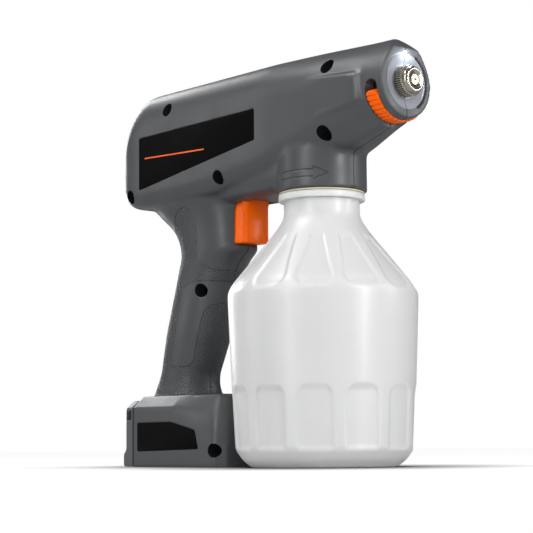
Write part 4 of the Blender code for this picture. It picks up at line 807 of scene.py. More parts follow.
@dataclass
class Housing:
    """The two moulded halves: barrel, collar, belly, handle and base in one skin."""

    voxel: float = 0.8 * MM
    clear: float = 0.05 * MM
    nose_x: float = 65.7 * MM
    nozzle_z: float = 205.0 * MM
    hood_x: float = 59.0 * MM
    hood_rise: float = 24.5 * MM
    brow_rise: float = 18.0 * MM
    rear_x: float = -150.0 * MM
    rear_run: float = 24.0 * MM
    rear_drop: float = 31.0 * MM
    rear_dip: float = 1.5 * MM
    rear_lift: float = 11.5 * MM
    rear_taper: float = 8.5 * MM
    crown_drop: float = 25.0 * MM
    top_z: float = 229.0 * MM
    bottom_z: float = 156.5 * MM
    half_width: float = 28.7 * MM
    air_wall: float = 1.2 * MM
    air_front_x: float = 46.0 * MM
    air_floor_z: float = 41.0 * MM
    rib_radius: float = 2.2 * MM
    rib_half: float = 15.0 * MM
    rib_z: float = 181.5 * MM
    rib_pitch: float = 8.5 * MM
    collar_radius: float = 25.5 * MM
    collar_bottom_z: float = 152.5 * MM
    collar_top_z: float = 176.0 * MM
    socket_radius: float = 23.0 * MM
    socket_low_z: float = 142.5 * MM
    socket_high_z: float = 160.0 * MM
    base_front_x: float = -54.0 * MM
    base_seam_x: float = -133.5 * MM
    base_half: float = 30.0 * MM
    base_top_z: float = 42.0 * MM
    base_corner: float = 5.5 * MM
    shoulder_z: float = 35.0 * MM
    shoulder_front_z: float = 26.0 * MM
    shoulder_bend_x: float = -96.0 * MM
    shoulder_bevel: float = 7.5 * MM
    shoulder_wall: float = 1.5 * MM
    pack_half: float = 27.2 * MM
    pack_top_z: float = 39.0 * MM
    pack_front_x: float = -65.5 * MM
    pack_bend_x: float = -80.0 * MM
    bay_rear_x: float = -161.0 * MM
    rail_depth: float = 1.5 * MM
    rail_rear: tuple[float, float] = (-129.5 * MM, 18.0 * MM)
    rail_front: tuple[float, float] = (-55.5 * MM, 20.5 * MM)
    trigger_rear: tuple[float, float] = (-86.5 * MM, 129.1 * MM)
    trigger_front: tuple[float, float] = (-45.3 * MM, 154.5 * MM)
    trigger_half: float = 8.8 * MM
    handle_low_z: float = 39.8 * MM
    handle_high_z: float = 170.0 * MM
    handle_power: float = 2.4
    slot_rear_x: float = 53.8 * MM
    slot_front_x: float = 62.0 * MM
    slot_floor: float = 12.8 * MM
    slot_reach: float = 30.0 * MM
    bore_rear_x: float = 40.0 * MM
    manifold_radius: float = 8.3 * MM
    sleeve_radius: float = 13.5 * MM
    lamp_radius: float = 1.8 * MM
    dish_radius: float = 14.8 * MM
    dish_floor_x: float = 63.5 * MM
    groove_radii: tuple[float, float] = (16.4 * MM, 14.9 * MM)
    groove_angles: tuple[float, float] = (-58.0, 62.0)
    groove_depth: float = 2.6 * MM
    cap_radius: float = 8.5 * MM
    lamp_z: float = 220.5 * MM
    screw_recess: float = 4.05 * MM
    screw_seat_y: float = -6.5 * MM
    label_pocket: float = 0.8 * MM
    label_corner: float = 1.2 * MM
    grip_depth: float = 1.6 * MM
    arrow_z: float = 160.0 * MM
    arrow_line: float = 0.28 * MM

    # Lines along the barrel, as (x, value), and along the handle, as (z, value).
    low_line: Pairs = ((-0.1260, 0.1565), (-0.0700, 0.1575), (-0.0240, 0.1630),
                       (0.0255, 0.1725), (0.0657, 0.1858))
    half_line: Pairs = ((-0.1260, 0.0287), (-0.0200, 0.0275), (0.0150, 0.0246),
                        (0.0480, 0.0202), (0.0657, 0.0192))
    low_round: Pairs = ((-0.1260, 0.0095), (-0.0200, 0.0120), (0.0200, 0.0160),
                        (0.0480, 0.0190), (0.0657, 0.0192))
    high_round: Pairs = ((-0.1260, 0.0200), (-0.0200, 0.0205), (0.0480, 0.0200), (0.0657, 0.0192))
    powers: Pairs = ((-0.0200, 2.1), (0.0480, 1.65), (0.0657, 1.55))
    band: Pairs = ((-0.0500, 0.1930), (-0.0400, 0.2130), (0.0200, 0.2125), (0.0495, 0.2105), (0.0510, 0.1935),
                   (0.0200, 0.1870), (-0.0200, 0.1850))
    handle_back: Pairs = ((0.0398, -0.1400), (0.0480, -0.1372), (0.0550, -0.1340), (0.0790, -0.1283),
                          (0.1080, -0.1190), (0.1240, -0.1145), (0.1330, -0.1155), (0.1420, -0.1210),
                          (0.1500, -0.1315), (0.1580, -0.1410), (0.1700, -0.1450))
    handle_front: Pairs = ((0.0398, -0.0940), (0.0480, -0.0965), (0.0550, -0.0960), (0.0790, -0.0853),
                           (0.1080, -0.0760), (0.1180, -0.0715), (0.1240, -0.0655), (0.1265, -0.0605),
                           (0.1290, -0.0620), (0.1550, -0.0610), (0.1700, -0.0580))
    handle_half: Pairs = ((0.0398, 0.0190), (0.0480, 0.0160), (0.0550, 0.0152), (0.0790, 0.0165),
                          (0.1240, 0.0165), (0.1420, 0.0180), (0.1580, 0.0220), (0.1700, 0.0260))
    screws: Pairs = ((-0.1039, 0.2128), (-0.1390, 0.1640), (-0.0578, 0.1661), (0.0254, 0.2174),
                     (0.0237, 0.1806), (-0.0877, 0.1035), (-0.0600, 0.0095))
    side_label: Pairs = ((-0.1290, 0.1670), (-0.1290, 0.1985), (-0.0260, 0.2010), (-0.0260, 0.1835))
    base_label: Pairs = ((-0.1290, 0.0093), (-0.1290, 0.0260), (-0.0980, 0.0262), (-0.0760, 0.0212),
                         (-0.0730, 0.0105))
    grip_outline: Pairs = (
        (-0.1300, 0.1410), (-0.1100, 0.1415), (-0.1070, 0.1480), (-0.1015, 0.1525), (-0.0965, 0.1535),
        (-0.0915, 0.1515), (-0.0880, 0.1465), (-0.0880, 0.1300), (-0.0890, 0.1230), (-0.0850, 0.1180),
        (-0.0780, 0.1150), (-0.0500, 0.1120), (-0.0500, 0.0900), (-0.0800, 0.0890), (-0.0935, 0.0560),
        (-0.0935, 0.0426), (-0.1500, 0.0426), (-0.1500, 0.1200))
    panel_outline: Pairs = (
        (-0.0500, 0.1075), (-0.0740, 0.1085), (-0.0900, 0.1095), (-0.1000, 0.1075), (-0.1042, 0.1040),
        (-0.1048, 0.0990), (-0.1155, 0.0600), (-0.1015, 0.0590), (-0.0980, 0.0620), (-0.0880, 0.0900),
        (-0.0840, 0.0945), (-0.0780, 0.0962), (-0.0500, 0.0966))
    belly_half: Pairs = ((-0.0950, 0.0190), (-0.0600, 0.0200), (0.0, 0.0240))
    belly_z: float = 170.0 * MM
    belly_rise: float = 17.0 * MM
    band_half: Pairs = ((-0.0200, 0.0275), (0.0510, 0.0218))
    band_rear_half: float = 26.5 * MM

    # Where forms are blended into each other: least and most x, least y to either side, least and most z.
    blends: tuple[tuple[float, ...], ...] = (
        (-0.1000, 0.0480, -1.0, 0.1565, 0.1800), (-1.0, -0.0450, -1.0, 0.1380, 0.1680),
        (-0.0860, -0.0500, 0.0100, 0.0210, 0.0445), (0.0440, 0.0530, 0.0150, 0.1900, 0.2140))
    corner_blends: tuple[tuple[float, ...], ...] = ((-0.0950, -0.0500, 0.0150, 0.0130, 0.0410),)
    form: Piece | None = field(default=None, repr=False)

    def section(self, x: float, low: float, high: float, half: float, low_round: float, high_round: float,
                high_drop: float, power: float, fine: bool = True) -> Ring:
        """One section of the barrel: flat sides, rounded below and above.

        Args:
            x: where it is.
            low: its lowest height.
            high: its greatest height.
            half: its half width.
            low_round: the radius of its lower corners.
            high_round: how far in its upper corners reach.
            high_drop: how far down they reach.
            power: how square they are, 2 being round.
            fine: whether the corners get all their steps.

        Returns:
            The points, in order round the section.
        """
        low_round, high_round = min(low_round, half), min(high_round, half)
        below, above = (16, 22) if fine else (6, 8)
        side = [(0.0, low)]
        side += arc((half - low_round, low + low_round), (low_round, low_round), -90.0, 0.0, below)
        side += arc((half - high_round, high - high_drop), (high_round, high_drop), 0.0, 90.0, above, power)
        side += [(0.0, high)]
        return [(x, y, z) for y, z in side + [(-y, z) for y, z in reversed(side[1:-1])]]

    def barrel(self, name: str, wall: float, front: float, fine: bool = True) -> Piece:
        """The barrel's skin, or a smaller one inside it.

        Args:
            name: the new piece's name.
            wall: how far inside the skin it lies.
            front: where it ends, along X.
            fine: whether it gets all its rings.

        Returns:
            The new piece.
        """
        tighter = wall * 0.8
        low_round, high_round, power = (line[0][1] for line in (self.low_round, self.high_round, self.powers))
        rings = []
        for share in np.linspace(0.0, 0.96, 20 if fine else 6):
            angle = math.radians(90.0 * share)
            loss = 1.0 - math.sin(angle)
            x = self.rear_x + wall + (self.rear_run - wall) * (1.0 - math.cos(angle))
            high = self.top_z - self.rear_dip - self.rear_drop * loss
            low = self.bottom_z + self.rear_lift * loss ** 2
            half = self.half_width - self.rear_taper * loss ** 1.5
            drop = min(self.crown_drop, (high - low) * 0.42)
            rings.append(self.section(x, low + wall, high - wall, half - wall, low_round - tighter,
                                      high_round - tighter, drop - tighter, power, fine))
        start = self.rear_x + self.rear_run
        for x in np.linspace(start, front, 100 if fine else 12):
            drop = eased(((start, self.crown_drop), (0.0480, 0.0235), (self.nose_x, self.hood_rise)), x)
            high = eased(((start, self.top_z - self.rear_dip), (0.0, self.top_z),
                          (self.nose_x, self.nozzle_z + self.hood_rise)), x)
            rings.append(self.section(
                x, eased(self.low_line, x) + wall, high - wall, eased(self.half_line, x) - wall,
                eased(self.low_round, x) - tighter, eased(self.high_round, x) - tighter, drop - tighter,
                eased(self.powers, x), fine))
        return skinned(name, np.array(rings))

    def handle(self, name: str, wall: float, low: float, fine: bool = True) -> Piece:
        """The handle's skin, or a smaller one inside it.

        Args:
            name: the new piece's name.
            wall: how far inside the skin it lies.
            low: its lowest height.
            fine: whether it gets all its rings.

        Returns:
            The new piece.
        """
        rings = []
        for z in np.linspace(low, self.handle_high_z, 90 if fine else 20):
            back, front = eased(self.handle_back, z, 2.5 * MM), eased(self.handle_front, z, 2.0 * MM)
            reach = ((front - back) / 2.0 - wall, eased(self.handle_half, z, 4.0 * MM) - wall)
            steps = 96 if fine else 28
            ring = arc(((back + front) / 2.0, 0.0), reach, 0.0, 360.0, steps, self.handle_power)
            rings.append([(x, y, z) for x, y in ring[:-1]])
        return skinned(name, np.array(rings))

    def base(self, name: str, inset: float = 0.0) -> Piece:
        """The battery base that belongs to the housing, with its shoulders and front corners bevelled.

        Args:
            name: the new piece's name.
            inset: how far inside the base's sides it lies.

        Returns:
            The new piece.
        """
        rings = []
        for shrink, level, side_z, front_z in ((0.0, 0.0, 0.0, 0.0),
                                               (0.0, None, self.shoulder_z, self.shoulder_front_z),
                                               (self.shoulder_bevel, self.base_top_z, 0.0, 0.0)):
            half = self.base_half - shrink - inset
            front = self.base_front_x - shrink * 0.8 - inset
            corners = np.array([
                (self.base_seam_x, half, side_z), (self.shoulder_bend_x, half, side_z - GAP),
                (front - self.base_corner + shrink * 0.3, half, front_z),
                (front, half - self.base_corner, front_z)])
            spread = np.concatenate([np.linspace(0.0, 1.0, 5)[:-1], np.linspace(1.0, 2.0, 25)[:-1],
                                     np.linspace(2.0, 3.0, 9)])
            points = [tuple(np.interp(share, range(4), corners[:, axis]) for axis in range(3))
                      for share in spread]
            if level is not None:
                points = [(x, y, level) for x, y, _ in points]
            rings.append(points + [(x, -y, z) for x, y, z in reversed(points)])
        return skinned(name, np.array(rings))

    def pack_form(self, name: str, inset: float, rear: float, front: float, floor: float) -> Piece:
        """The pack's outer form, or a smaller or larger one, bevelled to lie under the base's shoulders.

        Args:
            name: the new piece's name.
            inset: how far inside the pack's own surface it lies, below zero for its bay.
            rear: the form's rear end, along X.
            front: the form's front end.
            floor: the form's lowest height.

        Returns:
            The new piece.
        """
        half, top = self.pack_half - inset, self.pack_top_z - inset
        places = (self.shoulder_bend_x, self.base_front_x - self.base_corner)
        rings = []
        for x in (rear, self.shoulder_bend_x, self.pack_bend_x, front):
            low = float(np.interp(x, places, (self.shoulder_z - GAP, self.shoulder_front_z)))
            rise = self.base_top_z - low
            slope = math.hypot(self.shoulder_bevel, rise)
            out, up = rise / slope, self.shoulder_bevel / slope
            reach = out * self.base_half + up * low - self.shoulder_wall - GAP - self.clear - inset
            side = [(half, floor), (half, (reach - out * half) / up), ((reach - up * top) / out, top)]
            rings.append([(x, y, z) for y, z in side + [(-y, z) for y, z in reversed(side)]])
        return skinned(name, np.array(rings))

    def belly(self) -> Piece:
        """The swelling under the barrel between handle and collar.

        Returns:
            The new piece.
        """
        rings = []
        for x in np.linspace(self.belly_half[0][0], self.belly_half[-1][0], 24):
            reach = (eased(self.belly_half, x, 8.0 * MM), self.belly_rise)
            rings.append([(x, y, z) for y, z in arc((0.0, self.belly_z), reach, 0.0, 360.0, 72, 4.0)[:-1]])
        return skinned("belly", np.array(rings))

    def band_form(self) -> Piece:
        """The flat band that ends proud of the nose.

        Returns:
            The new piece.
        """
        plate = drawn("band", self.band, Axis.Y, -1.0, 1.0)
        (start, wide), (end, narrow) = self.band_half
        slope = (narrow - wide) / (end - start)
        for vertex in plate.data.vertices:
            reach = wide + slope * (vertex.co.x - start) if vertex.co.x > start else self.band_rear_half
            vertex.co.y = math.copysign(reach, vertex.co.y)
        return rounded(plate, 2.6 * MM, 4)

    def build_form(self) -> None:
        """Join all forms into one skin, with the soft blends of the moulding."""
        collar = rod("collar", self.collar_radius, Axis.Z, (0.0, 0.0, 0.0), self.collar_bottom_z,
                     self.collar_top_z, 128)
        ahead, above = self.nose_x + 10.0 * MM, self.top_z + 11.0 * MM
        brow = [(self.hood_x, self.nozzle_z + self.hood_rise + 0.2 * MM),
                (self.nose_x + 0.4 * MM, self.nozzle_z + self.brow_rise),
                (ahead, self.nozzle_z + self.brow_rise), (ahead, above), (self.hood_x, above)]
        barrel = combined(self.barrel("form", 0.0, self.nose_x), [drawn("hood", brow, Axis.Y, -0.04, 0.04)],
                          "DIFFERENCE")
        form = joined([barrel, self.band_form(), self.belly(),
                       self.handle("handle", 0.0, self.handle_low_z), self.base("base"), collar], "form")
        shaped_by(form, "REMESH", mode="VOXEL", voxel_size=self.voxel, adaptivity=0.0)
        shaped_by(form, "SMOOTH", factor=0.5, iterations=5)
        x, y, z = vectors(form.data.vertices, "co").T
        for boxes, factor, iterations in ((self.blends, 0.5, 45), (self.corner_blends, 0.6, 80)):
            chosen = [(x > rear) & (x < front) & (abs(y) > side) & (z > low) & (z < high)
                      for rear, front, side, low, high in boxes]
            softened(form, np.any(chosen, axis=0), factor, iterations)
        self.form = form

    def air(self) -> Piece:
        """The hollow inside the housing, with its ribs, bosses and bays left out.

        Returns:
            The new piece.
        """
        core = self.barrel("air", self.air_wall, self.air_front_x, fine=False)
        combined(core, [self.handle("core_handle", self.air_wall, self.air_floor_z, fine=False),
                        self.base("core_base", self.air_wall)], "UNION")
        return combined(core, [merged_copy("housing_right"), merged_copy("housing_left")], "DIFFERENCE")

    def nose_cutters(self) -> list[Piece]:
        """Slot of the flow ring, dish, groove and lamp hole.

        Returns:
            The closed pieces to cut with.
        """
        centre = (0.0, self.nozzle_z)
        axis = (0.0, *centre)
        end = (self.slot_front_x - self.slot_rear_x) / 2.0
        reach, floor = self.slot_reach, self.slot_floor - MM
        wide, tight = (math.degrees(math.asin(end / radius)) for radius in (reach, floor))
        outer = arc(centre, (reach, reach), 180.0 + wide, 360.0 - wide, 40)
        inner = arc(centre, (floor, floor), 360.0 - tight, 180.0 + tight, 40)
        slot = drawn("ring_slot", outer + inner, Axis.X, self.slot_rear_x, self.slot_front_x)
        rounded(slot, 0.3 * MM, 2)
        hole = floor * math.cos(math.radians(tight))
        holes = [rod("slot_end", end, Axis.Y, (self.slot_rear_x + end, 0.0, self.nozzle_z - end),
                     *sorted((side * hole, side * reach)), 40) for side in SIDES.values()]
        ahead = self.nose_x + 10.0 * MM
        dish = [(0.0, self.dish_floor_x), (self.cap_radius + 0.6 * MM, self.dish_floor_x)]
        dish += [(self.dish_radius + out * MM, self.nose_x + along * MM)
                 for out, along in ((-2.2, -1.0), (-1.0, -0.6), (0.0, -0.4), (0.8, 0.6))]
        dish += [(self.dish_radius + 0.8 * MM, ahead), (0.0, ahead)]
        start, stop = self.groove_angles
        wider, narrower = self.groove_radii
        groove = arc(centre, (wider, wider), start, stop, 24)
        groove += arc(centre, (narrower, narrower), stop, start, 24)
        return [
            slot,
            *holes,
            turned("dish", dish, Axis.X, axis, 96),
            drawn("groove", groove, Axis.X, self.nose_x - self.groove_depth, self.nose_x + 2.0 * MM),
            rod("manifold_bay", self.manifold_radius + self.clear, Axis.X, axis, self.bore_rear_x,
                self.nose_x),
            rod("sleeve_bay", self.sleeve_radius, Axis.X, axis, self.slot_rear_x, self.slot_front_x),
            rod("lamp_bay", self.lamp_radius, Axis.X, (0.0, 0.0, self.lamp_z), self.bore_rear_x, ahead, 24),
        ]

    def bay_cutters(self) -> list[Piece]:
        """Trigger slot, socket bay, battery bay, screw recesses and label pockets.

        Returns:
            The closed pieces to cut with.
        """
        margin = GAP + self.clear
        half = self.pack_half + margin
        (rail_x, rail_z), (rail_end_x, rail_top_z) = self.rail_rear, self.rail_front
        (rear, low), (front, high) = self.trigger_rear, self.trigger_front
        bay = self.pack_form("pack_bay", -margin, self.bay_rear_x, self.pack_front_x + margin, -10.0 * MM)
        rails = [side_block("rail", (rail_x, half + GAP - self.rail_depth, rail_z),
                            (rail_end_x, half + 10.0 * MM, rail_top_z), side) for side in SIDES.values()]
        tools = [
            combined(bay, rails, "DIFFERENCE"),
            rounded(block("trigger_slot", (rear, -self.trigger_half - self.clear, low - self.clear),
                          (front, self.trigger_half + self.clear, high + self.clear)), 1.0 * MM, 3),
            rod("socket_bay", self.socket_radius + self.clear, Axis.Z, (0.0, 0.0, 0.0), self.socket_low_z,
                self.socket_high_z, 96),
        ]
        tools += [rod("screw_hole", self.screw_recess, Axis.Y, (x, 0.0, z), -50.0 * MM, self.screw_seat_y, 40)
                  for x, z in self.screws]
        for side in SIDES.values():
            tools.append(self.side_plate("label_pocket", GAP, 1.2 * MM, -self.label_pocket, side))
            tools.append(self.base_plate("base_label_pocket", GAP, 1.2 * MM, -self.label_pocket, side))
        return tools

    def laid_on_side(self, plate: Piece, side: float) -> Piece:
        """Move a plate drawn along Y onto the barrel's tapering side.

        Args:
            plate: the plate, whose y is its height over that side.
            side: below zero for the right side and above for the left.

        Returns:
            The same plate.
        """
        for vertex in plate.data.vertices:
            reach = float(np.interp(vertex.co.x, *zip(*self.half_line)))
            vertex.co.y = side * (reach + vertex.co.y)
        return welded(plate)

    def side_plate(self, name: str, margin: float, outer: float, inner: float, side: float) -> Piece:
        """A plate that lies along the barrel's flat, slightly tapering side.

        Args:
            name: the new piece's name.
            margin: how much larger than the label it is all round.
            outer: its outer face, over the barrel's side.
            inner: its inner face.
            side: below zero for the right side and above for the left.

        Returns:
            The new piece.
        """
        outline = soft_corners(grown(self.side_label, margin), self.label_corner)
        return self.laid_on_side(drawn(name, outline, Axis.Y, inner, outer), side)

    def base_plate(self, name: str, margin: float, outer: float, inner: float, side: float) -> Piece:
        """A plate on the flat side of the base.

        Args:
            name: the new piece's name.
            margin: how much larger than the label it is all round.
            outer: its outer face, over the base's side.
            inner: its inner face.
            side: below zero for the right side and above for the left.

        Returns:
            The new piece.
        """
        outline = soft_corners(grown(self.base_label, margin), self.label_corner)
        ends = sorted((side * (self.base_half + inner), side * (self.base_half + outer)))
        return drawn(name, outline, Axis.Y, *ends)

    def grip_region(self, name: str, margin: float, depth: float) -> Piece:
        """The grip's part of the handle, down to a depth below its skin.

        Args:
            name: the new piece's name.
            margin: how much larger it is than the grip all round.
            depth: how far it reaches into the handle.

        Returns:
            The new piece.
        """
        region = drawn(name, soft_corners(grown(self.grip_outline, margin), 2.0 * MM), Axis.Y, -0.05, 0.05)
        bare = drawn("bare", soft_corners(grown(self.panel_outline, -margin), 1.6 * MM), Axis.Y, -0.06, 0.06)
        core = self.handle("grip_core", depth, self.handle_low_z - 0.8 * MM)
        return combined(region, [bare, core], "DIFFERENCE")

    def rear_ribs(self) -> list[Piece]:
        """Four soft ribs across the rear face."""
        return [rounded(rod("rear_rib", self.rib_radius, Axis.Y,
                            (self.rear_x + 0.9 * MM, 0.0, self.rib_z + (index - 1.5) * self.rib_pitch),
                            -self.rib_half, self.rib_half, 32), 1.2 * MM, 4) for index in range(4)]

    def arrow_cutters(self) -> list[Piece]:
        """The engraved outline of a plain arrow on the collar's right side.

        Returns:
            The closed pieces to cut with.
        """
        tail, neck, tip = -108.0, -55.0, -36.0
        shaft, head = 2.0 * MM, 3.6 * MM
        corners = [(tail, -shaft), (neck, -shaft), (neck, -head), (tip, 0.0), (neck, head), (neck, shaft),
                   (tail, shaft)]
        tools = []
        for start, end in zip(corners, corners[1:] + corners[:1]):
            swing, rise = math.radians(end[0] - start[0]), end[1] - start[1]
            along = np.linspace(0.0, 1.0, max(2, int(abs(end[0] - start[0]) / 3.0)) + 1)
            run = np.array([swing * self.collar_radius, rise])
            run /= np.linalg.norm(run)
            rings = []
            for share in along:
                angle, height = math.radians(start[0]) + swing * share, self.arrow_z + start[1] + rise * share
                ring = []
                for out, across in ((-0.45, -1.0), (1.5, -1.6), (1.5, 1.6), (-0.45, 1.0)):
                    radius, shift = self.collar_radius + out * MM, across * self.arrow_line
                    turn = angle - run[1] * shift / self.collar_radius
                    ring.append((radius * math.cos(turn), radius * math.sin(turn), height + run[0] * shift))
                rings.append(ring)
            tools.append(skinned("arrow_line", np.array(rings)))
        return tools

    def build(self) -> list[Piece]:
        """Make both halves of the housing.

        Returns:
            The right and the left half.
        """
        self.build_form()
        shell = twin(self.form, "housing")
        combined(shell, self.rear_ribs(), "UNION")
        cutters = self.nose_cutters() + self.bay_cutters() + [self.air()]
        cutters.append(self.grip_region("grip_pocket", 0.25 * MM, self.grip_depth + GAP))
        combined(shell, cutters, "DIFFERENCE")
        combined(shell, self.arrow_cutters(), "DIFFERENCE")
        return split(shell, "shell")

    def dress(self, halves: list[Piece]) -> None:
        """Finish the halves, with painted light on the polished dish round the nozzle and painted shade down
        the screw holes.

        Args:
            halves: the right and the left half.
        """
        for half, name in zip(halves, SIDES):
            shaded(half, 30.0)
            seat(half, Body.HOUSING, [f"housing_{name}"], HOUSING)
            half.data.materials.append(DISH_PAINTED_LIGHT.material())
            half.data.materials.append(PAINTED_HOLE_SHADE.material())
            for polygon in half.data.polygons:
                x, y, z = polygon.center
                off_axis = math.hypot(y, z - self.nozzle_z)
                # Painted light: the dish round the nozzle gets its lighter colour.
                if x > self.dish_floor_x - 0.2 * MM and off_axis < self.dish_radius + 0.3 * MM:
                    polygon.material_index = 1
                # Painted shade: the walls of the screw holes are coloured near black.
                elif any(math.hypot(x - place_x, z - place_z) < self.screw_recess + 0.1 * MM
                         for place_x, place_z in self.screws) and abs(polygon.normal.y) < 0.5:
                    polygon.material_index = 2


@dataclass
class Grips:
    """The soft overmoulded panels on both sides of the handle, with a diamond knurl."""

    housing: Housing
    voxel: float = 0.52 * MM
    pitch: float = 1.7 * MM
    depth: float = 0.50 * MM
    slant: float = 0.85
    groove_share: float = 0.26
    radius: float = 17.0 * MM
    middle: Pairs = ((0.0480, -0.1170), (0.1240, -0.0900))
    low: Triple = (-0.16, -0.04, 0.040)
    high: Triple = (-0.045, 0.04, 0.158)

    def build(self) -> list[Piece]:
        """Cut the grips from the handle's skin and knurl them.

        Returns:
            The right and the left grip.
        """
        skin = combined(twin(self.housing.form, "grip"), [block("keep", self.low, self.high)], "INTERSECT")
        shaped_by(skin, "REMESH", mode="VOXEL", voxel_size=self.voxel, adaptivity=0.0)
        shaped_by(skin, "SMOOTH", factor=0.5, iterations=3)
        self.knurl(skin)
        combined(skin, [self.housing.grip_region("region", 0.0, self.housing.grip_depth)], "INTERSECT")
        return split(skin, "grip_pad")

    def knurl(self, skin: Piece) -> None:
        """Press crossed grooves into the skin, at an even pitch round the handle.

        Args:
            skin: the handle's finely meshed skin.
        """
        mesh = skin.data
        place, normal = vectors(mesh.vertices, "co"), vectors(mesh.vertex_normals, "vector")
        centre = np.interp(place[:, 2], *zip(*self.middle))
        around = np.arctan2(place[:, 1], (place[:, 0] - centre) * 0.75) * self.radius
        grooves = np.ones(len(place))
        for slant in (-self.slant, self.slant):
            phase = (place[:, 2] + slant * around) / self.pitch
            depth = np.clip(1.0 - np.abs((phase % 1.0) - 0.5) / self.groove_share, 0.0, 1.0)
            grooves = np.minimum(grooves, 1.0 - depth)
        place -= normal * (1.0 - grooves[:, None]) * self.depth
        mesh.vertices.foreach_set("co", place.reshape(-1).astype(np.float32))
        mesh.update()

    def dress(self, grips: list[Piece]) -> None:
        """Finish both grips."""
        for grip, name in zip(grips, SIDES):
            seat(shaded(grip, 50.0), Body.HOUSING, [f"grip_{name}"], GRIP)


@dataclass
class Labels:
    """Bare black plates on barrel and base, the long ones with a thin rule."""

    housing: Housing
    thickness: float = 0.5 * MM
    edge: float = 0.12 * MM
    rule: Pairs = ((-0.1235, 0.1857), (-0.0690, 0.1839))
    rule_height: float = 0.8 * MM
    ink: float = 0.05 * MM

    def build(self) -> None:
        """Make and dress all plates."""
        inner = GAP - self.housing.label_pocket
        outer = inner + self.thickness
        for name, side in SIDES.items():
            for stem, node, made in (("side_plate", "label", self.housing.side_plate),
                                     ("base_plate", "base_label", self.housing.base_plate)):
                plate = rounded(made(f"{stem}_{name}", 0.0, outer, inner, side), self.edge, 2)
                seat(shaded(plate), Body.HOUSING, [f"{node}_{name}"], LABEL)
            self.draw_rule(name, side, outer)

    def draw_rule(self, name: str, side: float, outer: float) -> None:
        """Lay the printed rule on a long plate.

        Args:
            name: the side's name.
            side: below zero for the right side and above for the left.
            outer: the plate's surface, over the barrel's side.
        """
        half = self.rule_height / 2.0
        outline = [(x, z - half) for x, z in self.rule] + [(x, z + half) for x, z in reversed(self.rule)]
        rule = drawn(f"rule_{name}", outline, Axis.Y, outer - self.ink, outer + self.ink)
        seat(shaded(self.housing.laid_on_side(rule, side)), Body.HOUSING, [], RULE)


@dataclass
class Screws:
    """Self-tapping screws deep in their recesses."""

    housing: Housing
    head: float = 3.3 * MM
    height: float = 2.4 * MM
    shank: float = 1.4 * MM
    tip_y: float = 8.5 * MM
    pitch: float = 1.1 * MM
    turns: int = 11
    cross_half: float = 0.45 * MM
    cross_reach: float = 1.8 * MM
    cross_depth: float = 1.4 * MM

    def build(self) -> None:
        """Model one screw with its cross recess and copy it to each place."""
        seat_y = self.housing.screw_seat_y - GAP
        top = seat_y - self.height
        root = self.shank * 0.78
        profile = [(0.0, top), (self.head * 0.55, top + 0.05 * MM), (self.head * 0.86, top + 0.45 * MM),
                   (self.head, top + 1.1 * MM), (self.head, seat_y), (self.shank, seat_y)]
        for turn in range(self.turns):
            along = seat_y + 1.0 * MM + turn * self.pitch
            profile += [(root, along), (self.shank, along + self.pitch * 0.4),
                        (root, along + self.pitch * 0.8)]
        profile.append((0.0, self.tip_y))
        screw = turned("screw", profile, Axis.Y, steps=40)
        arms = [block("arm", (-across, top - MM, -up), (across, top + self.cross_depth, up))
                for across, up in ((self.cross_half, self.cross_reach), (self.cross_reach, self.cross_half))]
        combined(screw, arms, "DIFFERENCE")
        for index, (x, z) in enumerate(self.housing.screws, start=1):
            copy = twin(screw, f"screw_{index}")
            for vertex in copy.data.vertices:
                vertex.co += Vector((x, 0.0, z))
            seat(shaded(copy), Body.HOUSING, [f"housing_screw_{index}"], SCREW_STEEL_PAINTED_SHADE)
        bpy.data.objects.remove(screw)


# ---------------------------------------------------------------- nozzle end


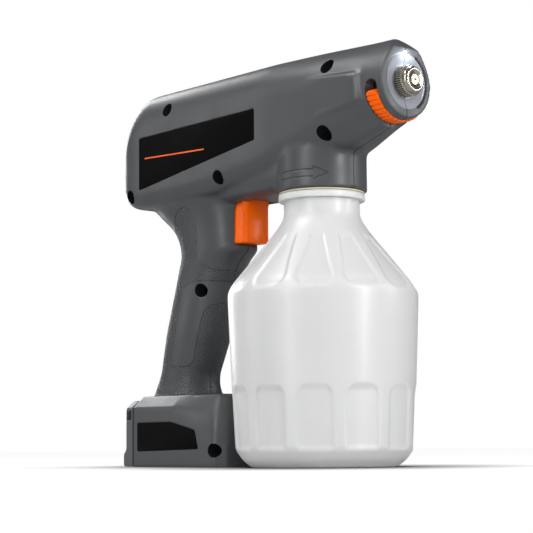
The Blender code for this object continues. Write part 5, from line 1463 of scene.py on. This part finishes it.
@dataclass
class Nozzle:
    """Knurled cap, insert, lamp lens and ribbed flow ring."""

    housing: Housing
    ring_radius: float = 21.3 * MM
    ring_gap: float = 0.4 * MM
    ring_ridge: float = 0.9 * MM
    ring_ridges: int = 18
    ring_half_angle: float = 72.0
    ring_turn: float = 16.0
    cap_radius: float = 8.5 * MM
    cap_bore: float = 6.4 * MM
    cap_rear_x: float = 63.8 * MM
    knurls: int = 44
    knurl_start: float = 0.4 * MM
    knurl_end: float = 5.4 * MM
    knurl_depth: float = 0.55 * MM
    groove_half: float = 0.16 * MM
    groove_pitch_mm: float = 0.8
    groove_depth: float = 0.25 * MM
    lens_dome: float = 1.1 * MM

    def build(self) -> None:
        """Make and dress every piece of the nozzle end."""
        self.flow_ring()
        self.cap()
        self.insert()
        self.lens()

    def flow_ring(self) -> None:
        """The orange sector with rounded ribs."""
        low, high = self.housing.slot_rear_x + self.ring_gap, self.housing.slot_front_x - self.ring_gap
        inner = self.housing.slot_floor + self.ring_gap
        first, sweep = -90.0 - self.ring_half_angle, 2.0 * self.ring_half_angle
        fine, coarse = self.ring_ridges * 10, 60
        outline = []
        for step in range(fine + 1):
            wave = min(1.0, 2.0 * abs(math.sin(math.pi * self.ring_ridges * step / fine)))
            outline.append((math.radians(first + sweep * step / fine),
                            self.ring_radius - self.ring_ridge * (1.0 - wave)))
        outline += [(math.radians(first + sweep * step / coarse), inner) for step in range(coarse, -1, -1)]
        outline = [(-reach * math.cos(angle), self.housing.nozzle_z + reach * math.sin(angle))
                   for angle, reach in outline]
        ring = rounded(drawn("ribbed_ring", outline, Axis.X, low, high), 0.35 * MM, 3, 60.0)
        for side in SIDES.values():
            combined(ring, [self.ring_end(side)], "INTERSECT")
        seat(shaded(ring, 40.0), Body.FLOW_RING, ["flow_ring"], ORANGE)

    def ring_end(self, side: float) -> Piece:
        """All of the ring's room, with one end rounded to meet the slot's round end at the limit.

        Args:
            side: below zero for the ring's right end and above for its left.

        Returns:
            The new piece.
        """
        rear, front = self.housing.slot_rear_x, self.housing.slot_front_x
        radius, room_size = (front - rear) / 2.0, 40.0 * MM
        middle = self.housing.nozzle_z - radius
        room = block("ring_room", (rear, -room_size, middle - room_size), (front, room_size, middle))
        ends = sorted((side * 5.0 * MM, side * room_size))
        end = rod("ring_end", radius - 0.45 * MM, Axis.Y, (rear + radius, 0.0, middle), *ends, 48)
        combined(room, [end], "UNION")
        turn = Matrix.Rotation(-side * math.radians(self.ring_turn), 3, "X")
        centre = Vector((0.0, 0.0, self.housing.nozzle_z))
        for vertex in room.data.vertices:
            vertex.co = centre + turn @ (vertex.co - centre)
        return room

    def cap(self) -> None:
        """The nozzle cap with an axially knurled rim and a rounded front."""
        rear, radius, inner = self.cap_rear_x, self.cap_radius, self.cap_bore
        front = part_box("nozzle_cap")[1].x
        start, end, shoulder = rear + self.knurl_start, rear + self.knurl_end, rear + 6.2 * MM
        # Points of the profile as (radius, x, share of the knurl's depth).
        profile = [(inner, rear, 0.0), (radius - 0.5 * MM, rear, 0.0), (radius, start, 1.0),
                   (radius, end, 1.0), (radius - 0.35 * MM, rear + 5.9 * MM, 0.5),
                   (radius - 0.9 * MM, rear + 6.1 * MM, 0.0)]
        for angle in np.radians(np.linspace(0.0, 90.0, 10)):
            profile.append((radius - 2.6 * MM + 1.6 * MM * math.cos(angle),
                            shoulder + (front - shoulder) * math.sin(angle), 0.0))
        profile += [(reach * MM, front - back * MM, 0.0)
                    for reach, back in ((5.3, 0.0), (5.0, 0.25), (4.0, 0.45), (3.6, 0.6), (3.4, 0.9))]
        profile += [(reach, rear + ahead * MM, 0.0) for reach, ahead in (
            (3.4 * MM, 5.9), (inner, 5.9), (inner, 2.5), (inner + 1.2 * MM, 2.5), (inner + 1.2 * MM, 0.7),
            (inner, 0.7), (inner, 0.0))]
        count = self.knurls * 6
        angles = 2.0 * math.pi * np.arange(count) / count
        ridge = self.knurl_depth * (1.0 - np.abs(np.sin(angles * self.knurls / 2.0)))
        rings = []
        for reach, x, knurled in profile:
            spread = reach - knurled * ridge
            rings.append(np.stack([np.full(count, x), spread * np.cos(angles),
                                   self.housing.nozzle_z + spread * np.sin(angles)], axis=1))
        cap = skinned("knurled_cap", np.array(rings), ends_closed=False)
        seat(shaded(cap, 40.0), Body.CAP, ["nozzle_cap"], NICKEL)
        # The knurl's groove faces get the painted shade.
        cap.data.materials.append(PAINTED_KNURL_SHADE.material())
        for polygon in cap.data.polygons:
            x, y, z = polygon.center
            depth = radius - math.hypot(y, z - self.housing.nozzle_z)
            if start < x < end and 0.20 * MM < depth < 0.6 * MM:
                polygon.material_index = 1

    def insert(self) -> None:
        """The nozzle insert: a stepped face with a cross slot round a fine hole."""
        low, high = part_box("nozzle_insert")
        rear, tip = low.x, high.x
        profile = [(0.4 * MM, rear), (5.8 * MM, rear), (5.8 * MM, rear + 1.2 * MM),
                   (3.1 * MM, rear + 1.2 * MM), (3.05 * MM, tip - 0.4 * MM), (2.75 * MM, tip),
                   (0.7 * MM, tip), (0.4 * MM, tip - 0.3 * MM)]
        insert = turned("insert", profile, Axis.X, (0.0, 0.0, self.housing.nozzle_z), 64)
        grooves = []
        for across in (step * self.groove_pitch_mm * MM for step in range(-3, 4)):
            for slant in (45.0, -45.0):
                groove = block("groove", (tip - self.groove_depth, across - self.groove_half, -4.0 * MM),
                               (tip + MM, across + self.groove_half, 4.0 * MM))
                for vertex in groove.data.vertices:
                    vertex.co = Matrix.Rotation(math.radians(slant), 3, "X") @ vertex.co
                    vertex.co.z += self.housing.nozzle_z
                grooves.append(groove)
        combined(insert, grooves, "DIFFERENCE")
        seat(shaded(insert), Body.HOUSING, ["nozzle_insert"], NICKEL)

    def lens(self) -> None:
        """The lamp's domed lens in the hood, clear behind its lit face."""
        low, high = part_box("lamp")
        radius, rim = (high.z - low.z) / 2.0, high.x - self.lens_dome
        profile = [(0.0, low.x), (radius, low.x), (radius, rim)]
        profile += [(radius * math.cos(angle), rim + self.lens_dome * math.sin(angle))
                    for angle in map(math.radians, range(15, 90, 15))]
        profile.append((0.0, high.x))
        lens = turned("lens", profile, Axis.X, (0.0, 0.0, self.housing.lamp_z), 40)
        seat(shaded(lens, 60.0), Body.HOUSING, ["lamp"], LENS)
        lens.data.materials.append(CLEAR_TUBE.material())
        for polygon in lens.data.polygons:
            polygon.material_index = 0 if polygon.normal.x > 0.2 else 1


# ---------------------------------------------------------------- trigger


@dataclass
class Trigger:
    """The orange trigger: a wide, hollowed finger pad on a narrower slider."""

    rear_x: float = -72.0 * MM
    pad_x: float = -55.3 * MM
    face_x: float = -50.6 * MM
    low_z: float = 129.5 * MM
    high_z: float = 154.1 * MM
    half: float = 8.4 * MM
    pad_half: float = 10.0 * MM
    edge: float = 2.6 * MM
    crown: float = 2.0 * MM
    dish: float = 2.4 * MM

    def front(self, share: float) -> float:
        """Where the pad's face is, at a share of its height."""
        return self.face_x - self.dish * (1.0 - share) - self.dish * math.sin(math.pi * share) ** 0.8

    def build(self) -> None:
        """Loft the pad's outline across its width, rounded towards both sides, and add the slider."""
        rings = []
        for share in np.linspace(-1.0, 1.0, 41):
            y = self.pad_half * math.sin(math.pi / 2.0 * share)
            past = max(0.0, abs(y) - (self.pad_half - self.edge))
            inset = self.edge - math.sqrt(max(0.0, self.edge ** 2 - past ** 2))
            inset += self.crown * (y / self.pad_half) ** 2
            ring = [(self.pad_x, y, self.low_z)]
            for up in np.linspace(0.0, 1.0, 33):
                ring.append((self.front(up) - inset, y, self.low_z + (self.high_z - self.low_z) * up))
            ring.append((self.pad_x, y, self.high_z))
            rings.append(ring)
        pad = rounded(skinned("finger_pad", np.array(rings)), 1.6 * MM, 5, 60.0)
        slider = rounded(block("slider", (self.rear_x, -self.half, self.low_z),
                               (self.pad_x + 1.2 * MM, self.half, self.high_z)), 1.2 * MM, 4)
        trigger = combined(pad, [slider], "UNION")
        seat(shaded(trigger, 50.0), Body.TRIGGER, ["trigger"], ORANGE)


# ---------------------------------------------------------------- tank


@dataclass
class Tank:
    """The blown one-litre tank with its pressed panels, flutes and screw finish."""

    wall: float = 1.6 * MM
    neck_radius: float = 21.2 * MM
    neck_z: float = 140.0 * MM
    flange_z: float = 151.0 * MM
    panels: int = 12
    azimuth: float = math.radians(10.0)
    segments: int = 360
    panel_depth: float = 0.95 * MM
    flute_depth: float = 1.05 * MM
    finish_core: float = 19.2 * MM
    finish_height: float = 19.5 * MM
    thread_pitch: float = 4.5 * MM
    thread_turns: float = 1.5
    thread_height: float = 1.3 * MM
    thread_start: float = 4.2 * MM
    foot_z: float = 2.0 * MM
    rounding: float = 1.6 * MM
    seal_bore: float = 20.8 * MM
    profile: Pairs = (
        (0.0, 0.0398), (0.0018, 0.0424), (0.0045, 0.0455), (0.0100, 0.0492), (0.0450, 0.0510),
        (0.0920, 0.0530), (0.0955, 0.0529), (0.0985, 0.0519), (0.1015, 0.0500), (0.1040, 0.0480),
        (0.1300, 0.0264), (0.1350, 0.0230), (0.1390, 0.0213), (0.1474, 0.0212))

    def window(self, angles: np.ndarray, half_width: float, soft: float) -> np.ndarray:
        """1 inside each panel's width and 0 between panels, with soft sides.

        Args:
            angles: places round the tank, in radians.
            half_width: half a panel's width, in degrees.
            soft: how many degrees each side takes.

        Returns:
            The share at each angle.
        """
        period = 2.0 * math.pi / self.panels
        offset = np.degrees(np.abs((angles - self.azimuth + period / 2.0) % period - period / 2.0))
        share = np.clip((half_width - offset) / soft + 0.5, 0.0, 1.0)
        return share * share * (3.0 - 2.0 * share)

    def level(self, z: float, radius: float, angles: np.ndarray) -> np.ndarray:
        """The tank's radius all round at one height.

        Args:
            z: the height.
            radius: the plain radius there.
            angles: places round the tank, in radians.

        Returns:
            The radius at each angle, less the panels and flutes pressed into it.
        """
        def rise(low: float, high: float) -> float:
            """A smooth step from 0 to 1 between two heights."""
            share = min(1.0, max(0.0, (z - low) / (high - low)))
            return share * share * (3.0 - 2.0 * share)

        low_window = rise(0.0088, 0.0125) * (1.0 - rise(0.0405, 0.0455))
        top = max(0.0, (z - 0.0360) / 0.0095)
        width = 10.6 * math.sqrt(max(0.0, 1.0 - min(1.0, top) ** 2.4))
        recess = self.window(angles, width, 2.2) * (low_window if width > 1.0 else 0.0) * self.panel_depth
        foot = 1.0 - min(1.0, max(0.0, (z - 0.0950) / 0.0070))
        flute_span = rise(0.0950, 0.0985) * (1.0 - rise(0.1230, 0.1280))
        flute_width = (11.8 - 5.0 * min(1.0, max(0.0, (z - 0.103) / 0.024))) * math.sqrt(1.0 - foot ** 2)
        flute = self.window(angles, flute_width, 3.0) * flute_span * self.flute_depth
        return radius - recess - flute

    def finish_radius(self, z: float, angles: np.ndarray) -> np.ndarray:
        """The screw finish's radius at one height, with its thread.

        Args:
            z: the height.
            angles: places round the tank, in radians.

        Returns:
            The radius at each angle.
        """
        start = self.flange_z + self.thread_start
        rise = np.zeros_like(angles)
        turn = (angles / (2.0 * math.pi)) % 1.0
        for whole in range(math.ceil(self.thread_turns)):
            wound = turn + whole
            ends = np.clip(np.minimum(wound, self.thread_turns - wound) * 6.0, 0.0, 1.0)
            away = np.abs(z - (start + self.thread_pitch * wound)) / self.thread_height
            rise = np.maximum(rise, ends * np.clip(1.0 - away, 0.0, 1.0) ** 0.8)
        return self.finish_core + self.thread_height * rise

    def plain_radius(self, z: float) -> float:
        """The tank's radius at a height, without panels, flutes or thread."""
        return eased(self.profile, z, min(self.rounding, z)) if z < self.neck_z else self.neck_radius

    def build(self) -> None:
        """Wrap the outer and inner skins and close them at foot and rim."""
        angles = 2.0 * math.pi * np.arange(self.segments) / self.segments + self.azimuth

        def ring(reach: float | np.ndarray, z: float) -> np.ndarray:
            """One level ring of points."""
            return np.stack([reach * np.cos(angles), reach * np.sin(angles), np.full_like(angles, z)], axis=1)

        def plain(pairs: Pairs) -> list[np.ndarray]:
            """Round rings, from their radii and heights in millimetres."""
            return [ring(reach * MM, z * MM) for reach, z in pairs]

        heights = np.concatenate([np.linspace(low, high, count) for low, high, count in (
            (0.0004, 0.0125, 16), (0.0140, 0.0340, 12), (0.0355, 0.0465, 16), (0.0500, 0.0920, 14),
            (0.0930, 0.1060, 20), (0.1080, 0.1230, 12), (0.1240, 0.1400, 16), (0.1440, 0.1474, 2))])
        top = (self.flange_z + self.finish_height) / MM
        flange = self.flange_z / MM
        rings = plain(((0.0, 2.4), (26.0, 2.4), (31.0, 1.9), (34.0, 0.6), (35.5, 0.0), (39.0, 0.0)))
        rings += [ring(self.level(z, self.plain_radius(z), angles), z) for z in heights]
        rings += plain(((24.0, 147.5), (24.2, 147.8), (24.2, 150.6), (23.9, flange), (19.5, flange)))
        rings += [ring(self.finish_radius(z, angles), z)
                  for z in np.linspace(self.flange_z + 1.0 * MM, (top - 0.4) * MM, 44)]
        rings += plain(((19.0, top), (17.9, top), (17.6, top - 0.3), (17.6, flange)))
        rings += [ring(self.level(z, self.plain_radius(z) - self.wall, angles), max(z, self.foot_z))
                  for z in np.concatenate([np.linspace(0.1470, 0.1400, 4), heights[::-1][5::2]])]
        rings += plain(((36.0, 2.1), (33.0, 3.0), (26.0, 4.0), (0.0, 4.0)))
        tank = skinned("blown_tank", np.array(rings), ends_closed=False)
        seat(shaded(tank, 40.0), Body.TANK, ["tank"], TANK)
        self.gasket()

    def gasket(self) -> None:
        """The flat seal between flange and socket, its edges rounded."""
        low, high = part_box("tank_gasket")
        profile = [(self.seal_bore, low.z), (high.x, low.z), (high.x, high.z), (self.seal_bore, high.z)]
        gasket = rounded(turned("flat_seal", profile, Axis.Z, steps=128), 0.2 * MM, 3)
        seat(shaded(gasket), Body.GASKET, ["tank_gasket"], SEAL)


# ---------------------------------------------------------------- battery


@dataclass(frozen=True)
class Spring:
    """A coil spring, copied as it stands in the imported model."""

    node: str
    body: Body
    joint: str
    axis: Axis
    seat_at: float
    travel: float

    def build(self) -> None:
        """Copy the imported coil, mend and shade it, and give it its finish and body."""
        coil = twin(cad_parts[self.node], self.node + "_coil")
        seat(shaded(welded(coil), 40.0), self.body, [self.node], STEEL)
        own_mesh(coil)


SPRINGS = (
    Spring("trigger_spring", Body.HOUSING, "trigger_pull", Axis.X, -98.2 * MM, 6.0 * MM),
    Spring("latch_spring_right", Body.BATTERY, "latch_right_press", Axis.Y, -18.3 * MM, 1.5 * MM),
    Spring("latch_spring_left", Body.BATTERY, "latch_left_press", Axis.Y, 18.3 * MM, 1.5 * MM),
)


@dataclass
class Battery:
    """The pack's case, its rear lid and the two squeeze latches."""

    housing: Housing
    rear_x: float = -141.0 * MM
    top_z: float = 39.5 * MM
    shoulder_run: float = 5.5 * MM
    wall: float = 1.0 * MM
    cell_wall: float = 3.0 * MM
    front_wall: float = 1.7 * MM
    divider_half: float = 5.2 * MM
    rounding: float = 2.0 * MM
    corner: float = 1.2 * MM
    lip: float = 2.4 * MM
    lip_z: float = 10.5 * MM
    lip_run: float = 3.0 * MM
    plug_z: tuple[float, float] = (1.3 * MM, 37.7 * MM)
    latch_low: Triple = (-139.1 * MM, 18.0 * MM, 28.2 * MM)
    latch_high: Triple = (-134.9 * MM, 40.9 * MM, 33.8 * MM)
    pocket_low: Triple = (-124.3 * MM, -4.3 * MM, 38.1 * MM)
    pocket_high: Triple = (-105.7 * MM, 4.3 * MM, 40.0 * MM)
    groove_depth: float = 2.1 * MM
    groove_z: tuple[float, float] = (17.7 * MM, 20.8 * MM)
    ridge_radius: float = 0.35 * MM
    ridge_pitch: float = 1.3 * MM

    def section(self, x: float, inset: float, lip: float) -> Ring:
        """A section of the lid with rounded corners.

        Args:
            x: where it is.
            inset: how far inside the lid's full outline it lies.
            lip: how far the foot lip reaches back.

        Returns:
            The points, in order round the section.
        """
        half, side = self.housing.base_half - inset, self.housing.shoulder_z - inset
        floor, top, run = GAP + inset * 0.3, self.top_z - inset, half - self.shoulder_run
        outline = [(half, floor), (half, side), (run, top), (-run, top), (-half, side), (-half, floor)]
        points = soft_corners(outline, self.corner, 4)
        up = [(half, z) for z in np.linspace(4.0 * MM, 12.0 * MM, 9)]
        above = 12.5 * MM
        first = next(index for index, (y, z) in enumerate(points) if y > 0.0 and z > above)
        last = next(index for index, (y, z) in enumerate(points) if y < 0.0 and z < above)
        points = points[:first] + up + points[first:last] + [(-y, z) for y, z in reversed(up)] + points[last:]
        return [(x - lip * min(1.0, max(0.0, (self.lip_z - z) / self.lip_run)), y, z) for y, z in points]

    def build(self) -> None:
        """Make and dress the lid with its foot lip and plugs, the case and the latches."""
        front = self.housing.base_seam_x - 2.0 * GAP
        rings = [self.section(front, 0.4 * MM, 0.0), self.section(front - 0.4 * MM, 0.0, 0.0)]
        for share in np.linspace(0.0, 1.0, 9):
            x = self.rear_x + self.rounding * (1.0 - math.sin(math.pi / 2.0 * share))
            rings.append(self.section(x, self.rounding * (1.0 - math.cos(math.pi / 2.0 * share)), self.lip))
        lid = skinned("pack_lid", np.array(rings))
        low, high = self.plug_z
        inner, outer = self.divider_half + GAP, self.housing.pack_half - self.cell_wall - GAP
        plugs = []
        for side in SIDES.values():
            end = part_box("battery_lid")[1].x
            plug = side_block("plug", (front - MM, inner, low), (end, outer, high), side)
            room = self.housing.pack_form("room", self.wall + GAP, -0.15, self.housing.pack_front_x, 0.0)
            plugs.append(combined(plug, [room], "INTERSECT"))
        combined(lid, plugs, "UNION")
        bays = [side_block("latch_bay", self.latch_low, self.latch_high, side) for side in SIDES.values()]
        combined(lid, bays, "DIFFERENCE")
        seat(shaded(lid), Body.BATTERY, ["battery_lid"], PACK)
        self.case()
        for name, side in SIDES.items():
            self.latch(name, side)

    def case(self) -> None:
        """The pack's case: a bay for two cells on each side, rail grooves and the terminals' pocket."""
        seam, end, half = self.housing.base_seam_x, self.housing.pack_front_x, self.housing.pack_half
        roof, past = self.housing.pack_top_z - self.wall, 10.0 * MM
        low, high = self.groove_z
        case = self.housing.pack_form("pack_case", 0.0, seam, end, 0.0)
        cuts = [block("pocket", self.pocket_low, self.pocket_high)]
        for side in SIDES.values():
            bay = side_block("cell_bay", (seam - past, self.divider_half, self.wall),
                             (end - self.front_wall, half - self.cell_wall, roof), side)
            room = self.housing.pack_form("room", self.wall, seam - 2.0 * past, end, 0.0)
            cuts.append(combined(bay, [room], "INTERSECT"))
            cuts.append(side_block("groove", (seam - past, half - self.groove_depth, low),
                                   (end + past, half + past, high), side))
        combined(case, cuts, "DIFFERENCE")
        seat(shaded(case), Body.BATTERY, ["battery_case"], PACK)

    def latch(self, name: str, side: float) -> None:
        """A latch button with three finger grooves.

        Args:
            name: the side's name.
            side: below zero for the right side and above for the left.
        """
        body = Body.LATCH_LEFT if side > 0.0 else Body.LATCH_RIGHT
        low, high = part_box(body.value)
        button = rounded(block(f"latch_{name}", low, high), 0.5 * MM, 3)
        outer, middle = high.y if side > 0.0 else low.y, (low.z + high.z) / 2.0
        grooves = [rod("groove", self.ridge_radius, Axis.X, (0.0, outer, middle + step * self.ridge_pitch),
                       low.x - MM, high.x + MM, 16) for step in (-1, 0, 1)]
        combined(button, grooves, "DIFFERENCE")
        seat(shaded(button), body, [body.value], SLEEVE)


# ---------------------------------------------------------------- carried-over nodes


CARRIED: dict[Finish, tuple[str, ...]] = {
    BLACK_PLASTIC: ("tank_socket", "high_voltage_module", "battery_contacts", "trigger_switch",
                    "switch_plunger"),
    SLEEVE: ("flow_sleeve",),
    SEAL: ("nozzle_oring",),
    CLEAR_TUBE: ("pickup_tube", "pickup_strainer", "suction_hose", "pressure_hose"),
    ACETAL: ("pump_head", "nozzle_manifold"),
    STEEL: ("electrode_ring", "pump_motor"),
    LAMINATE: ("control_board",),
    LEAD: ("high_voltage_lead", "lamp_lead", "motor_lead", "switch_lead", "power_lead"),
    BRASS: ("battery_terminals",),
    CELL_WRAP: ("battery_cell_1", "battery_cell_2", "battery_cell_3", "battery_cell_4"),
}


def dress_carried_nodes() -> None:
    """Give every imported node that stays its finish."""
    for finish, nodes in CARRIED.items():
        for node in nodes:
            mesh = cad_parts[node].data
            mesh.materials.clear()
            mesh.materials.append(finish.material())
            LOG.info("%s: %s", node, finish.name)


# ---------------------------------------------------------------- studio


@dataclass
class Studio:
    """Pale floor, soft lights and the camera at the photograph's place."""

    camera_place: Triple = (0.6436, -0.6319, 0.0120)
    heading: float = 137.51
    pitch_up: float = 6.29
    roll: float = -0.47
    lens: float = 109.8
    aim: Triple = (0.0, 0.0, 0.11)
    lamp_place: Triple = (0.0690, 0.0, 0.2200)
    lamp_power: float = 0.006
    floor_glow: float = 0.96
    contact_reach: float = 0.08
    shade_level: float = 0.14
    bounce: float = 0.50
    seen_bounce: float = 0.05
    shadow_power: float = 3.0

    def build(self) -> None:
        """Set up floor, world, lights and camera."""
        self.floor()
        self.world()
        self.lights()
        self.camera()
        bpy.context.scene.view_settings.view_transform = "Standard"

    def camera(self) -> None:
        """The camera: near the floor, far away, looking slightly up."""
        data = bpy.data.cameras.new("camera")
        data.lens = self.lens
        camera = bpy.data.objects.new("camera", data)
        camera.location = self.camera_place
        heading, pitch = math.radians(self.heading), math.radians(self.pitch_up)
        ahead = math.cos(pitch)
        forward = Vector((math.cos(heading) * ahead, math.sin(heading) * ahead, math.sin(pitch)))
        level = forward.to_track_quat("-Z", "Y").to_matrix()
        camera.rotation_euler = (level @ Matrix.Rotation(math.radians(self.roll), 3, "Z")).to_euler()
        bpy.context.scene.collection.objects.link(camera)
        bpy.context.scene.camera = camera

    def floor(self) -> None:
        """A wide pale floor that shows as white and keeps a soft contact shadow."""
        floor = primitive("plane", "floor", size=6.0)
        made = bpy.data.materials.new("pale_floor")
        made.use_nodes = True
        tree = made.node_tree
        tree.nodes.remove(tree.nodes["Principled BSDF"])
        rays = add_node(tree, "ShaderNodeLightPath")
        open_share = add_node(tree, "ShaderNodeAmbientOcclusion", {"Distance": self.contact_reach},
                              samples=16)
        contact = add_node(tree, "ShaderNodeMath", {0: open_share.outputs["AO"], 1: self.shadow_power},
                           operation="POWER")
        level = add_node(tree, "ShaderNodeMath", {0: contact.outputs[0], 1: self.floor_glow},
                         operation="MULTIPLY")
        glow = add_node(tree, "ShaderNodeMath", {0: rays.outputs["Is Camera Ray"], 1: level.outputs[0]},
                        operation="MULTIPLY")
        bounce = add_node(tree, "ShaderNodeMapRange", {"Value": rays.outputs["Is Camera Ray"],
                                                       "To Min": self.bounce, "To Max": self.seen_bounce})
        matt = add_node(tree, "ShaderNodeBsdfDiffuse", {"Color": bounce.outputs["Result"]})
        white = add_node(tree, "ShaderNodeEmission", {"Color": (1.0, 1.0, 1.0, 1.0),
                                                      "Strength": glow.outputs[0]})
        summed = add_node(tree, "ShaderNodeAddShader", {0: matt.outputs[0], 1: white.outputs[0]})
        tree.links.new(summed.outputs[0], tree.nodes["Material Output"].inputs["Surface"])
        floor.data.materials.append(made)

    def world(self) -> None:
        """White to the camera, a plain grey to the object."""
        world = bpy.data.worlds.new("studio")
        world.use_nodes = True
        tree = world.node_tree
        rays = add_node(tree, "ShaderNodeLightPath")
        seen = add_node(tree, "ShaderNodeMath", {0: rays.outputs["Is Camera Ray"],
                                                 1: rays.outputs["Is Transmission Ray"]}, operation="MAXIMUM")
        level = add_node(tree, "ShaderNodeMapRange", {"Value": seen.outputs[0], "To Min": self.shade_level,
                                                      "To Max": 1.0})
        back = tree.nodes["Background"]
        back.inputs["Color"].default_value = (1.0, 1.0, 1.0, 1.0)
        tree.links.new(level.outputs["Result"], back.inputs["Strength"])
        bpy.context.scene.world = world

    def lights(self) -> None:
        """Seven soft boxes round the object and the lamp's own glow; the front fill leaves no highlight."""
        for name, place, size, power in (
                ("soft_box_right", (1.10, 0.10, 0.40), (0.10, 1.0), 8.5),
                ("soft_box_left", (0.10, -1.15, 0.50), (0.10, 1.0), 5.0),
                ("soft_box_top", (-0.30, -0.45, 1.00), (0.5, 0.25), 4.0),
                ("front_fill", (0.85, -0.95, 0.55), (0.9, 0.6), 6.0),
                ("far_front", (0.80, 0.78, 0.40), (0.12, 0.50), 2.4),
                ("side_sheen", (-0.85, -0.75, 0.45), (0.18, 0.80), 1.4),
                ("rim", (-0.85, 0.15, 0.45), (0.20, 0.8), 4.0)):
            data = bpy.data.lights.new(name, "AREA")
            data.shape = "RECTANGLE"
            data.size, data.size_y = size
            data.energy = power
            lamp = bpy.data.objects.new(name, data)
            lamp.location = place
            lamp.rotation_euler = (Vector(self.aim) - Vector(place)).to_track_quat("-Z", "Y").to_euler()
            lamp.visible_glossy = name != "front_fill"
            bpy.context.scene.collection.objects.link(lamp)
        glow = bpy.data.lights.new("lamp_glow", "POINT")
        glow.energy, glow.shadow_soft_size = self.lamp_power, 1.0 * MM
        glow.color = linear("#eaf3ff")[:3]
        spark = bpy.data.objects.new("lamp_glow", glow)
        spark.location = self.lamp_place
        bpy.context.scene.collection.objects.link(spark)


def main() -> None:
    """Build every sub-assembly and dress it."""
    logging.basicConfig(level=logging.INFO, format="%(name)s: %(message)s")
    housing = Housing()
    halves = housing.build()
    grips = Grips(housing)
    pads = grips.build()
    housing.dress(halves)
    grips.dress(pads)
    bpy.data.objects.remove(housing.form)
    Labels(housing).build()
    Screws(housing).build()
    Nozzle(housing).build()
    Trigger().build()
    Tank().build()
    Battery(housing).build()
    for spring in SPRINGS:
        spring.build()
    dress_carried_nodes()
    Studio().build()


if __name__ == "__main__":
    main()
